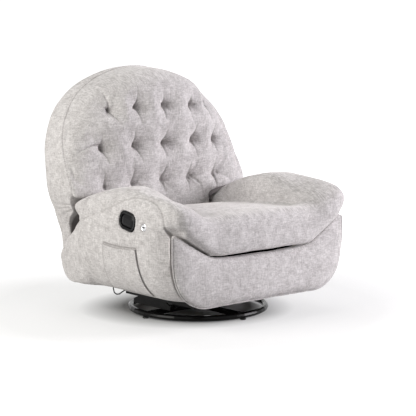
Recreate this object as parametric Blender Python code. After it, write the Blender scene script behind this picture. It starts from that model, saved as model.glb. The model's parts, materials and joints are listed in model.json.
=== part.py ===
"""Swivel rocker recliner with a tufted dome back, pillow arms and a fold-out footrest.

Metres, +Z up. The sitter faces -Y, and the latch, the charging port and the pocket are on the -X side.
The origin lies on the floor under the middle of the chair's outline.
"""

import math

import bmesh
import bpy
from mathutils import Matrix, Vector

# The model is laid out from the seat; this moves the frame's origin under the middle of the outline
FRAME_SHIFT_Y = -0.02355

# Clearances
GAP = 0.0003
PIN_PLAY = 0.0001
SIDE_PLAY = 0.0015
FOAM_PLAY = 0.001

# Swivel base
SWIVEL_Y = -0.050
RING_RADIUS = 0.2775
RING_TUBE = 0.0125
RING_STEPS = 48
GLIDE_RADIUS = 0.013
GLIDE_HEIGHT = 0.005
CROSS_WIDTH = 0.032
CROSS_HEIGHT = 0.014
SWIVEL_PLATE_RADIUS = 0.105
SWIVEL_PLATE = 0.004
RACE_RADIUS = 0.085
RACE_TUBE = 0.005
BOLT_RADIUS = 0.006
BOLT_HEAD_RADIUS = 0.011
BOLT_HEAD = 0.005

# Carriage and rocker
MECHANISM_HALF = 0.250
SIDE_PLATE = 0.004
CARRIAGE_PLATE = 0.006
CARRIAGE_LENGTH = 0.230
ROCKER_RAIL = 0.008
ROCKER_RAIL_FOOT = 0.018
ROCKER_BOSS = 0.017
ROCK_Z = 0.105
ROCK_PIN_RADIUS = 0.008
ROCK_PIN_HEAD = 0.004
ROCK_SPRING_INSET = 0.080
ROCK_SPRING_Y = 0.085
ROCK_SPRING_RADIUS = 0.018
ROCK_SPRING_WIRE = 0.0026
ROCK_SPRING_CURLS = 5
SPRING_PLATE_Z = 0.196
SPRING_PLATE = 0.004

# Chair frame
SIDE_PLATE_TOP = 0.2935
SIDE_PLATE_FRONT = -0.345
SIDE_PLATE_FOOT = 0.016
SEAT_RAIL_HEIGHT = 0.011
SEAT_RAIL_WIDTH = 0.040
SEAT_RAIL_FRONT_Y = -0.340
SEAT_RAIL_REAR_Y = 0.120
SEAT_SPRING_WIRE = 0.0019
SEAT_SPRING_SWING = 0.024
SEAT_SPRING_WAVES = 5
SEAT_SPRING_SHARE = 0.6
BASE_RAIL = 0.030
BASE_RAIL_Z = 0.086
BASE_RAIL_FRONT = -0.360
BASE_RAIL_REAR = 0.070
ARM_PLY = 0.012
ARM_PLY_TOP = 0.400
ARM_PLY_FRONT = -0.365
ARM_PLY_REAR = 0.165
REAR_PANEL_Y = 0.200
REAR_PANEL = 0.012
REAR_PANEL_TOP = 0.240

# Upholstered arms
SKIRT_Z = 0.120
ARM_PROUD = 0.005
ARM_TOP_Z = 0.567
ARM_PEAK_Y = -0.260
ARM_FRONT_DROP = 0.062
ARM_REAR_DROP = 0.105
ARM_TILT = 0.060
ARM_TILT_START_Y = -0.100
ARM_TILT_END_Y = -0.335
ARM_TIP_Y = -0.464
ARM_FACE_Y = -0.378
ARM_REAR_Y = 0.200
WALL_REAR_Y = 0.326
WALL_PLAY = 0.008
WALL_FRONT_Z = 0.386
WALL_REAR_Z = 0.240
WALL_TUCK = 0.042
ARM_CROWN_POWER = 3.4
ARM_FOOT_POWER = 6.0
ARM_RING_POINTS = 24
UNDER_Z = 0.300
UNDER_TUCK = 0.085
UNDER_POWER = 1.85
UNDER_FADE_Y = 0.080
UNDER_LEAST = 0.3
CORNER_START_Y = -0.280
CORNER_TUCK = 0.040
CORNER_TOP_Z = 0.430
CORNER_FADE = 0.040
WALL_CORNER = 0.085

# Seat cushion
SEAT_TOP_Z = 0.458
SEAT_FRONT_Y = -0.466
SEAT_PLAY = 0.002
SEAT_CROWN = 0.022
SEAT_POWER = 4.2
LIP_HALF = 0.256
LIP_SLOPE = 0.57

# Backrest
DOME_RADIUS = 0.460
DOME_POWER = 2.0
DOME_Z = 0.520
SEAM_Y = 0.200
BACK_LEAN = math.radians(12)
SEAM_LEAN = math.radians(27)
PILLOW_BOTTOM = 0.345
PILLOW_FRONT_Y = 0.140
PILLOW_FORWARD = 0.090
PILLOW_POWER = 2.1
PILLOW_EDGE = 0.012
ROLL_HEIGHT = 0.140
CREST_Y = 0.300
PILLOW_FLARE_Z = 0.445
PILLOW_SEGMENTS = 32
PILLOW_ROW = 0.021
TUFT_ROWS = (0.837, 0.680, 0.521)
TUFT_PITCH = 0.150
TUFT_TOP_OUTER = 0.265
TUFT_DEPTH = 0.036
TUFT_SPREAD = 0.024
SHELL_BOTTOM = 0.200
SHELL_LOW_HALF = 0.385
SHELL_FLARE_Z = 0.300
SHELL_REAR_Y = 0.462
SHELL_TOP_REAR_Y = 0.515
SHELL_RISE = 0.320
SHELL_TUCK = 0.200
SHELL_ROLL = 0.200
SHELL_POWER = 5.0
SHELL_EDGE = 0.014
SHELL_SETBACK = 0.050
SHELL_UNDERCUT_Z = 0.440
BOARD = 0.015
BOARD_RADIUS = 0.400
BOARD_WAIST_Z = 0.460
HINGE_Y = 0.250
HINGE_Z = 0.250
HINGE_PIN_RADIUS = 0.006
HINGE_PIN_HEAD = 0.004
HINGE_BOSS = 0.019
BRACKET = 0.004
BRACKET_LOW_Z = 0.355
BRACKET_TOP_Z = 0.440
BRACKET_WIDTH = 0.050

# Footrest
DRIVE_Y = -0.200
DRIVE_Z = 0.112
PANEL_PIVOT_Y = -0.365
LINK_LENGTH = 0.165
LINK_EYE = 0.011
LINK_ROOT_EYE = 0.017
LINK = 0.005
LINK_INSET = 0.007
STUD_RADIUS = 0.005
TUBE_RADIUS = 0.010
PANEL_INSET = 0.005
PANEL_BOTTOM = 0.100
PANEL_CORNER = 0.190
PANEL_FRONT_Y = -0.460
PANEL_REAR_Y = -0.395
PANEL_DROP = 0.022
PANEL_CROWN = 0.012
PANEL_POWER = 5.0
PANEL_BOARD = 0.012
PANEL_BOARD_LOW_Z = 0.130
PANEL_BRACKET_LOW_Z = 0.165
PANEL_BRACKET_WIDTH = 0.030

# Latch, port, cable and pocket on the -X side
LATCH_Y = -0.164
LATCH_Z = 0.427
LATCH_HALF_LENGTH = 0.051
LATCH_HALF_HEIGHT = 0.037
LATCH_CORNER = 0.030
LATCH_TILT = math.radians(10)
SIDE_LEAN = math.radians(3)
SIDE_SINK = 0.0038
LATCH_FLANGE = 0.010
LATCH_FLANGE_THICK = 0.004
LATCH_WALL = 0.002
LATCH_DEPTH = 0.024
LEVER_PLAY = 0.0015
LEVER_THICK = 0.007
LEVER_SINK = 0.003
LEVER_PIN_RADIUS = 0.0015
LEVER_PIN_INSET = 0.008
PORT_Y = -0.267
PORT_Z = 0.414
PORT_RADIUS = 0.015
PORT_BODY = 0.011
PORT_DEPTH = 0.014
PORT_WALL = 0.0012
PORT_SOCKET = 0.003
PORT_SLOT_LENGTH = 0.012
PORT_SLOT_HEIGHT = 0.0045
CABLE_RADIUS = 0.0025
CABLE_CHANNEL = 0.0065
CLIP_SIZE = 0.012
CLIP_Y = 0.030
CABLE_EXIT_X = 0.380
CABLE_EXIT_RISE = 0.004
CABLE_LOOP = ((0.005, 0.014), (0.0165, 0.0225), (0.031, 0.0235), (0.0445, 0.017), (0.056, 0.0125))
CHANNEL_LEAD = 0.006
CHANNEL_SPARE = 0.050
POCKET_FRONT_Y = -0.221
POCKET_REAR_Y = -0.015
POCKET_TOP = 0.322
POCKET_BOTTOM = 0.165
POCKET_FULLNESS = 0.0145
POCKET_MARGIN = 0.004
POCKET_SCOOP = 0.016
POCKET_CLOTH = 0.002

# Heights that stack up from the floor
RING_Z = GLIDE_HEIGHT + GAP + RING_TUBE
CROSS_LOW = RING_Z - CROSS_HEIGHT / 2
CROSS_TOP = RING_Z + CROSS_HEIGHT / 2
LOWER_PLATE_TOP = CROSS_TOP + GAP + SWIVEL_PLATE
RACE_Z = LOWER_PLATE_TOP + GAP + RACE_TUBE
UPPER_PLATE_LOW = RACE_Z + RACE_TUBE + GAP
CARRIAGE_LOW = UPPER_PLATE_LOW + SWIVEL_PLATE + GAP
CARRIAGE_TOP = CARRIAGE_LOW + CARRIAGE_PLATE
SEAT_LOW_Z = SIDE_PLATE_TOP + GAP
PLY_LOW = BASE_RAIL_Z + BASE_RAIL + GAP
SEAT_REAR_Y = PILLOW_FRONT_Y + (PILLOW_BOTTOM - DOME_Z) * math.tan(BACK_LEAN) - SEAT_PLAY

# Widths that stack out from the mechanism, or in from the back's outline
ARM_OUTER_X = DOME_RADIUS + ARM_PROUD
WALL_INNER_X = SHELL_LOW_HALF + WALL_PLAY
PANEL_HALF = ARM_OUTER_X - PANEL_INSET
SIDE_PLATE_OUTER = MECHANISM_HALF + SIDE_PLATE
ROCK_SPRING_X = MECHANISM_HALF - ROCK_SPRING_INSET
SEAT_SPRING_PITCH = MECHANISM_HALF * SEAT_SPRING_SHARE
PLY_INNER = SIDE_PLATE_OUTER + GAP
ARM_INNER_X = PLY_INNER + ARM_PLY + GAP
RAIL_OUTER = MECHANISM_HALF - SIDE_PLAY * 2
RAIL_INNER = RAIL_OUTER - ROCKER_RAIL
LINK_OUTER_LAYER = MECHANISM_HALF - LINK_INSET - LINK
LINK_INNER_LAYER = LINK_OUTER_LAYER - SIDE_PLAY - LINK

# Fold geometry of the footrest: three equal links zig-zag from the drive pivot to the panel pivot
FOLD_ANGLE = math.acos((DRIVE_Y - PANEL_PIVOT_Y) / (3 * LINK_LENGTH))
FOLD_RISE = LINK_LENGTH * math.sin(FOLD_ANGLE)
FOLD_STEP = LINK_LENGTH * math.cos(FOLD_ANGLE)
DRIVE = (DRIVE_Y, DRIVE_Z)
KNEE_TOP = (DRIVE_Y - FOLD_STEP, DRIVE_Z + FOLD_RISE)
KNEE_LOW = (DRIVE_Y - 2 * FOLD_STEP, DRIVE_Z)
PANEL_PIVOT = (PANEL_PIVOT_Y, DRIVE_Z + FOLD_RISE)
SIDES = (("left", 1.0), ("right", -1.0))
FRAME_SHIFT = Vector((0.0, FRAME_SHIFT_Y, 0.0))


def clear_scene():
    """Remove whatever the file opened with."""
    for obj in list(bpy.data.objects):
        bpy.data.objects.remove(obj, do_unlink=True)


def finish(name, colour, roughness, metallic=0.0):
    """A Principled material of one colour."""
    made = bpy.data.materials.new(name)
    made.use_nodes = True
    shader = made.node_tree.nodes["Principled BSDF"]
    shader.inputs["Base Color"].default_value = (*colour, 1.0)
    shader.inputs["Roughness"].default_value = roughness
    shader.inputs["Metallic"].default_value = metallic
    return made


def body(name, location):
    """An empty on a joint's axis, which carries the pieces that move with it."""
    holder = bpy.data.objects.new(name, None)
    holder.location = Vector(location) + FRAME_SHIFT
    bpy.context.scene.collection.objects.link(holder)
    return holder


def carry(obj, holder, look=None):
    """Parent a piece, which is modelled in place, to its body's empty."""
    bpy.context.scene.collection.objects.link(obj)
    obj.parent = holder
    obj.matrix_parent_inverse = Matrix.Translation(FRAME_SHIFT - holder.location)
    if look:
        obj.data.materials.append(look)
    return obj


def piece(name, bm, holder, look, smooth_angle=40):
    """Turn a bmesh, modelled in place, into a named piece."""
    bmesh.ops.recalc_face_normals(bm, faces=bm.faces[:])
    if bm.calc_volume(signed=True) < 0:
        bmesh.ops.reverse_faces(bm, faces=bm.faces[:])
    mesh = bpy.data.meshes.new(name)
    bm.to_mesh(mesh)
    bm.free()
    mesh.shade_smooth()
    mesh.set_sharp_from_angle(angle=math.radians(smooth_angle))
    return carry(bpy.data.objects.new(name, mesh), holder, look)


def loft(rings, around=False):
    """Skin equal rings of points. The ends are capped unless the rings go around."""
    bm = bmesh.new()
    loops = [[bm.verts.new(point) for point in ring] for ring in rings]
    count = len(loops[0])
    pairs = list(zip(loops, loops[1:]))
    if around:
        pairs.append((loops[-1], loops[0]))
    for near, far in pairs:
        for i in range(count):
            j = (i + 1) % count
            bm.faces.new((near[i], near[j], far[j], far[i]))
    if not around:
        bm.faces.new(loops[0][::-1])
        bm.faces.new(loops[-1])
    return bm


def along_x(start):
    """Map an outline in Y and Z, extruded along X from start."""
    return lambda u, v, w: (start + w, u, v)


def along_y(start):
    """Map an outline in X and Z, extruded along Y from start."""
    return lambda u, v, w: (u, start + w, v)


def along_z(start):
    """Map an outline in X and Y, extruded along Z from start."""
    return lambda u, v, w: (u, v, start + w)


def plate(outline, depth, place, holes=()):
    """Extrude a flat outline with holes and put it in place."""
    bm = bmesh.new()
    edges = []
    for loop in (outline, *holes):
        verts = [bm.verts.new((u, v, 0.0)) for u, v in loop]
        edges += [bm.edges.new(pair) for pair in zip(verts, verts[1:] + verts[:1])]
    bmesh.ops.triangle_fill(bm, use_beauty=True, edges=edges)
    made = bmesh.ops.extrude_face_region(bm, geom=bm.faces[:])
    moved = [item for item in made["geom"] if isinstance(item, bmesh.types.BMVert)]
    bmesh.ops.translate(bm, verts=moved, vec=(0.0, 0.0, depth))
    for vert in bm.verts:
        vert.co = place(*vert.co)
    return bm


def rectangle(low, high):
    """The outline of a box between two corners."""
    return [(low[0], low[1]), (high[0], low[1]), (high[0], high[1]), (low[0], high[1])]


def circle(centre, radius, steps=16):
    """The outline of a round hole or disc."""
    turns = [2 * math.pi * i / steps for i in range(steps)]
    return [(centre[0] + radius * math.cos(t), centre[1] + radius * math.sin(t)) for t in turns]


def bore(centre, radius, steps=16):
    """A hole whose flats clear a round pin of the given radius."""
    return circle(centre, (radius + PIN_PLAY) / math.cos(math.pi / steps), steps)


def arc(centre, radius, start, end, steps):
    """Points along an arc, both ends included, with angles in radians."""
    turns = [start + (end - start) * i / steps for i in range(steps + 1)]
    return [(centre[0] + radius * math.cos(t), centre[1] + radius * math.sin(t)) for t in turns]


def link_outline(first, second, first_eye, second_eye):
    """A bar between two round eyes, with straight tangent sides."""
    run = Vector(second) - Vector(first)
    heading = math.atan2(run.y, run.x)
    open_angle = math.acos((first_eye - second_eye) / run.length)
    outline = arc(first, first_eye, heading + open_angle, heading + 2 * math.pi - open_angle, 8)
    return outline + arc(second, second_eye, heading - open_angle, heading + open_angle, 8)


def box(name, low, high, holder, look):
    """A plain bar or board between two corners."""
    outline = rectangle((low[0], low[1]), (high[0], high[1]))
    return piece(name, plate(outline, high[2] - low[2], along_z(low[2])), holder, look)


def turned(profile, start, axis, steps=16):
    """Turn (distance, radius) pairs about an axis from a start point, with flat ends."""
    axis = Vector(axis).normalized()
    across = axis.orthogonal().normalized()
    other = axis.cross(across)
    rings = []
    for distance, radius in profile:
        centre = Vector(start) + axis * distance
        rings.append([centre + across * a + other * b for a, b in circle((0, 0), radius, steps)])
    return loft(rings)


def hoop(radius, tube, z, steps, sides):
    """A round tube bent into a level ring about the swivel axis."""
    rings = []
    for i in range(steps):
        turn = 2 * math.pi * i / steps
        rings.append([
            (r * math.cos(turn), SWIVEL_Y + r * math.sin(turn), h)
            for r, h in circle((radius, z), tube, sides)
        ])
    return loft(rings, around=True)


def superellipse(count, top_power, foot_power):
    """Unit ring whose upper and lower halves have their own squareness."""
    ring = []
    for i in range(count):
        turn = 2 * math.pi * (i + 0.5) / count
        power = top_power if math.sin(turn) > 0 else foot_power
        u = math.copysign(abs(math.cos(turn)) ** (2 / power), math.cos(turn))
        v = math.copysign(abs(math.sin(turn)) ** (2 / power), math.sin(turn))
        ring.append((u, v))
    return ring


def smooth(t):
    """Ease from 0 to 1."""
    t = min(max(t, 0.0), 1.0)
    return t * t * (3 - 2 * t)


def cut(target, bm, name):
    """Cut a piece with a hidden helper."""
    helper = piece(name, bm, target.parent, None)
    helper.hide_render = True
    helper.display_type = "WIRE"
    modifier = target.modifiers.new(name, "BOOLEAN")
    modifier.operation = "DIFFERENCE"
    modifier.solver = "EXACT"
    modifier.object = helper
    return helper


def fuse(target, bm, name):
    """Join a hidden helper to a piece."""
    helper = cut(target, bm, name)
    target.modifiers[name].operation = "UNION"
    return helper


def tube_curve(name, points, radius, sides_setting, holder, look):
    """A round wire or cable along a row of points."""
    curve = bpy.data.curves.new(name, "CURVE")
    curve.dimensions = "3D"
    curve.bevel_depth = radius
    curve.bevel_resolution = sides_setting
    curve.use_fill_caps = True
    spline = curve.splines.new("POLY")
    spline.points.add(len(points) - 1)
    for target, point in zip(spline.points, points):
        target.co = (*point, 1.0)
    return carry(bpy.data.objects.new(name, curve), holder, look)


def report_gap(name, points, radius, curl_points):
    """Print the least gap between a wound wire and its own next turns."""
    least = min(
        (Vector(points[i]) - Vector(points[j])).length
        for i in range(len(points))
        for j in range(i + curl_points // 2, len(points))
    )
    print(f"{name}: least gap to itself {1000 * (least - 2 * radius):.2f} mm")


def coil(name, foot, axis, height, radius, wire, curls, holder, look):
    """A compression spring as one unbroken wire, with short straight ends square to its seats."""
    curl_points = 8
    axis = Vector(axis).normalized()
    across = axis.orthogonal().normalized()
    other = axis.cross(across)
    straight = 2 * wire
    points = [Vector(foot) + across * radius]
    for i in range(curls * curl_points + 1):
        turn = 2 * math.pi * i / curl_points
        rise = straight + (height - 2 * straight) * i / (curls * curl_points)
        points.append(
            Vector(foot) + axis * rise + across * radius * math.cos(turn) + other * radius * math.sin(turn)
        )
    points.append(Vector(foot) + axis * height + across * radius)
    report_gap(name, points, wire, curl_points)
    return tube_curve(name, points, wire, 1, holder, look)


def smooth_route(points, step):
    """Read a smooth curve through the route's points at about the given step."""
    knots = [Vector(point) for point in points]
    padded = [2 * knots[0] - knots[1], *knots, 2 * knots[-1] - knots[-2]]
    route = []
    for before, start, end, after in zip(padded, padded[1:], padded[2:], padded[3:]):
        count = max(1, round((end - start).length / step))
        for i in range(count):
            t = i / count
            route.append(0.5 * (
                2 * start + (end - before) * t
                + (2 * before - 5 * start + 4 * end - after) * t * t
                + (3 * start - before - 3 * end + after) * t ** 3
            ))
    return [*route, knots[-1]]


def seam_y(z):
    """Where the seam between the back's cushion and its shell lies at a height."""
    lean = SEAM_LEAN if z > DOME_Z else BACK_LEAN
    return SEAM_Y + (z - DOME_Z) * math.tan(lean)


def dome_half(z, low_half, flare_z):
    """Half width of the back's outline at a height: a round dome over flared sides."""
    if z >= DOME_Z:
        rise = min((z - DOME_Z) / DOME_RADIUS, 1.0)
        return DOME_RADIUS * (1 - rise ** DOME_POWER) ** (1 / DOME_POWER)
    return low_half + (DOME_RADIUS - low_half) * smooth((z - flare_z) / (DOME_Z - flare_z))


def bow(share, power):
    """1 in the middle of a crowned section and 0 on its edge."""
    return max(1 - min(abs(share), 1.0) ** power, 0.0) ** (1 / power)


def arm_top(y):
    """Height of the arm's crown line, and of the rear wall behind it."""
    if y > ARM_REAR_Y:
        share = (y - ARM_REAR_Y) / (WALL_REAR_Y - ARM_REAR_Y)
        return WALL_FRONT_Z + (WALL_REAR_Z - WALL_FRONT_Z) * share
    if y < ARM_PEAK_Y:
        return ARM_TOP_Z - ARM_FRONT_DROP * ((ARM_PEAK_Y - y) / (ARM_PEAK_Y - ARM_TIP_Y)) ** 2
    return ARM_TOP_Z - ARM_REAR_DROP * ((y - ARM_PEAK_Y) / (ARM_REAR_Y - ARM_PEAK_Y)) ** 2


def arm_tilt(y):
    """How far the crown falls from the outer to the inner side, towards the lip at the front."""
    return ARM_TILT * smooth((ARM_TILT_START_Y - y) / (ARM_TILT_START_Y - ARM_TILT_END_Y))


def arm_outer(y):
    """How far out the arm's side stands, tucked in towards the rear."""
    tuck = max(y, 0.0) / WALL_REAR_Y
    return ARM_OUTER_X - WALL_TUCK * tuck * tuck


def arm_low(x, y):
    """Underside of the arm: the skirt line, round at the rear, or the slope under the tip over the footrest."""
    if y > ARM_FACE_Y:
        run = min(max(y - WALL_REAR_Y + WALL_CORNER, 0.0), WALL_CORNER)
        return SKIRT_Z + WALL_CORNER - math.sqrt(WALL_CORNER ** 2 - run ** 2)
    return SEAT_LOW_Z + LIP_SLOPE * max(x - LIP_HALF, 0.0)


def side_tuck(y, z):
    """How far the arm's side is drawn in: under the chair towards the skirt, and round the front corner."""
    depth = min(max((UNDER_Z - z) / (UNDER_Z - SKIRT_Z), 0.0), 1.0)
    under = UNDER_TUCK * (1 - bow(depth, UNDER_POWER))
    under *= 1 - (1 - UNDER_LEAST) * smooth((y - UNDER_FADE_Y) / (ARM_REAR_Y - UNDER_FADE_Y))
    turn = max(CORNER_START_Y - y, 0.0) / (CORNER_START_Y - ARM_FACE_Y)
    return under + CORNER_TUCK * turn * turn * smooth((CORNER_TOP_Z - z) / CORNER_FADE)


def crown_share(y, z):
    """How far from the arm's middle line its side stands at a height, as a share of the half width."""
    high = arm_top(y)
    v = (z - (SKIRT_Z + high) / 2) / ((high - SKIRT_Z) / 2)
    return bow(v, ARM_CROWN_POWER if v > 0 else ARM_FOOT_POWER)


def arm_ring(y, fullness, side):
    """Cross-section of one arm, or of its tip, whose crown carries on from the arm's."""
    inner = WALL_INNER_X if y > ARM_REAR_Y else ARM_INNER_X
    outer = arm_outer(y)
    middle = (inner + outer) / 2
    half = (outer - inner) / 2
    high = arm_top(y)
    centre = Vector((middle, (arm_low(middle, y) + high) / 2))
    ring = []
    for u, v in superellipse(ARM_RING_POINTS, ARM_CROWN_POWER, ARM_FOOT_POWER):
        x = middle + u * half
        z = centre.y + v * (high - arm_low(x, y)) / 2
        if y < ARM_FACE_Y:
            edge = arm_low(middle + math.copysign(half, u), y)
            z = edge + (high - edge) * v if v > 0 else arm_low(x, y)
            if v > 0:
                x = middle + math.copysign(half * crown_share(y, z), u)
        else:
            x = inner + (u + 1) / 2 * (outer - side_tuck(y, z) - inner)
        z -= arm_tilt(y) * max(v, 0.0) * (outer - x) / (outer - inner)
        spot = centre + (Vector((x, z)) - centre) * fullness
        ring.append((side * spot.x, y, spot.y))
    return ring


def side_face(y, z):
    """How far out the arm's side stands at a point of the side."""
    width = arm_outer(y) - side_tuck(y, z) - ARM_INNER_X
    return ARM_INNER_X + width * (1 + crown_share(y, z)) / 2


def side_frame(y, z, tilt):
    """Frame on the arm's side: X forward along the side, Y up it and Z out of it."""
    forward, up, out = Vector((0, -1, 0)), Vector((0, 0, 1)), Vector((-1, 0, 0))
    turn = Matrix.Rotation(tilt, 3, "X") @ Matrix.Rotation(-SIDE_LEAN, 3, "Y").inverted()
    basis = Matrix((turn @ forward, turn @ up, turn @ out)).transposed().to_4x4()
    return Matrix.Translation((SIDE_SINK - side_face(y, z), y, z)) @ basis


def rounded_rectangle(half_length, half_height, corner, steps=4):
    """Outline with round corners."""
    corner = min(corner, half_length, half_height) - 0.0001
    outline = []
    for quarter, (sx, sy) in enumerate(((1, 1), (-1, 1), (-1, -1), (1, -1))):
        centre = (sx * (half_length - corner), sy * (half_height - corner))
        outline += arc(centre, corner, quarter * math.pi / 2, (quarter + 1) * math.pi / 2, steps)
    return outline


def latch_loft(frame, levels):
    """Skin rounded rectangles, each given by its inset from the latch's outline and its depth."""
    rings = []
    for inset, depth in levels:
        outline = rounded_rectangle(
            LATCH_HALF_LENGTH - inset, LATCH_HALF_HEIGHT - inset, LATCH_CORNER - inset
        )
        rings.append([frame @ Vector((a, b, depth)) for a, b in outline])
    return loft(rings)


def build_base(steel, rubber):
    """Ring base that stands on the floor, with the fixed half of the swivel."""
    holder = body("base", (0, SWIVEL_Y, 0))
    piece("base_ring", hoop(RING_RADIUS, RING_TUBE, RING_Z, RING_STEPS, 10), holder, steel)
    inner = (RING_RADIUS - RING_TUBE) * math.cos(math.pi / RING_STEPS)
    reach = math.sqrt(inner ** 2 - (CROSS_WIDTH / 2) ** 2) - GAP
    half = CROSS_WIDTH / 2
    quarter = [(reach, -half), (reach, half), (half, half)]
    plus = []
    for turn in range(4):
        spin = Matrix.Rotation(turn * math.pi / 2, 2)
        plus += [spin @ Vector(point) + Vector((0, SWIVEL_Y)) for point in quarter]
    centre = (0, SWIVEL_Y)
    bolt_hole = bore(centre, BOLT_RADIUS)
    piece("base_cross", plate(plus, CROSS_HEIGHT, along_z(CROSS_LOW), [bolt_hole]), holder, steel)
    for name, turn in (("left", 0), ("rear", 1), ("right", 2), ("front", 3)):
        spot = Matrix.Rotation(turn * math.pi / 2, 3, "Z") @ Vector((RING_RADIUS, 0, 0))
        profile = [(0, GLIDE_RADIUS * 0.85), (GLIDE_HEIGHT * 0.4, GLIDE_RADIUS), (GLIDE_HEIGHT, GLIDE_RADIUS)]
        glide = turned(profile, spot + Vector((0, SWIVEL_Y, 0)), (0, 0, 1))
        piece(f"floor_glide_{name}", glide, holder, rubber)
    disc = circle(centre, SWIVEL_PLATE_RADIUS, 32)
    lower = plate(disc, SWIVEL_PLATE, along_z(CROSS_TOP + GAP), [bolt_hole])
    piece("swivel_lower_plate", lower, holder, steel)
    shank = CARRIAGE_TOP + GAP - (CROSS_LOW - GAP)
    profile = [
        (0, BOLT_HEAD_RADIUS), (BOLT_HEAD, BOLT_HEAD_RADIUS), (BOLT_HEAD, BOLT_RADIUS),
        (BOLT_HEAD + shank, BOLT_RADIUS), (BOLT_HEAD + shank, BOLT_HEAD_RADIUS),
        (2 * BOLT_HEAD + shank, BOLT_HEAD_RADIUS),
    ]
    bolt = turned(profile, (0, SWIVEL_Y, CROSS_LOW - GAP - BOLT_HEAD), (0, 0, 1))
    piece("king_bolt", bolt, holder, steel)


def build_carriage(steel, spring_steel):
    """Turning carriage with the rocker rails, pins and springs."""
    holder = body("carriage", (0, SWIVEL_Y, UPPER_PLATE_LOW))
    centre = (0, SWIVEL_Y)
    bolt_hole = bore(centre, BOLT_RADIUS)
    piece("ball_race", hoop(RACE_RADIUS, RACE_TUBE, RACE_Z, 32, 8), holder, spring_steel)
    disc = circle(centre, SWIVEL_PLATE_RADIUS, 32)
    upper = plate(disc, SWIVEL_PLATE, along_z(UPPER_PLATE_LOW), [bolt_hole])
    piece("swivel_upper_plate", upper, holder, steel)
    half_length = CARRIAGE_LENGTH / 2
    low = (-RAIL_INNER + GAP, SWIVEL_Y - half_length)
    high = (RAIL_INNER - GAP, SWIVEL_Y + half_length)
    deck = plate(rectangle(low, high), CARRIAGE_PLATE, along_z(CARRIAGE_LOW), [bolt_hole])
    piece("carriage_plate", deck, holder, steel)
    pivot = (SWIVEL_Y, ROCK_Z)
    foot_top = CARRIAGE_LOW + ROCKER_RAIL_FOOT
    outline = [
        (SWIVEL_Y - half_length, foot_top), (SWIVEL_Y - half_length, CARRIAGE_LOW),
        (SWIVEL_Y + half_length, CARRIAGE_LOW), (SWIVEL_Y + half_length, foot_top),
        *arc(pivot, ROCKER_BOSS, 0, math.pi, 10),
    ]
    hole = bore(pivot, ROCK_PIN_RADIUS)
    for name, side in SIDES:
        start = RAIL_INNER if side > 0 else -RAIL_OUTER
        rail = plate(outline, ROCKER_RAIL, along_x(start), [hole])
        piece(f"rocker_rail_{name}", rail, holder, steel)
        shank = SIDE_PLATE_OUTER - RAIL_INNER + GAP
        head = ROCK_PIN_HEAD
        profile = [
            (0, ROCKER_BOSS * 0.8), (head, ROCKER_BOSS * 0.8), (head, ROCK_PIN_RADIUS),
            (head + shank, ROCK_PIN_RADIUS),
        ]
        start = (side * (RAIL_INNER - GAP - head), *pivot)
        piece(f"rock_pin_{name}", turned(profile, start, (side, 0, 0)), holder, spring_steel)
        for end, reach in (("front", -ROCK_SPRING_Y), ("rear", ROCK_SPRING_Y)):
            foot = (side * ROCK_SPRING_X, SWIVEL_Y + reach, CARRIAGE_TOP + GAP)
            height = SPRING_PLATE_Z - CARRIAGE_TOP - 2 * GAP
            coil(
                f"rock_spring_{end}_{name}", foot, (0, 0, 1), height, ROCK_SPRING_RADIUS,
                ROCK_SPRING_WIRE, ROCK_SPRING_CURLS, holder, spring_steel,
            )


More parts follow.
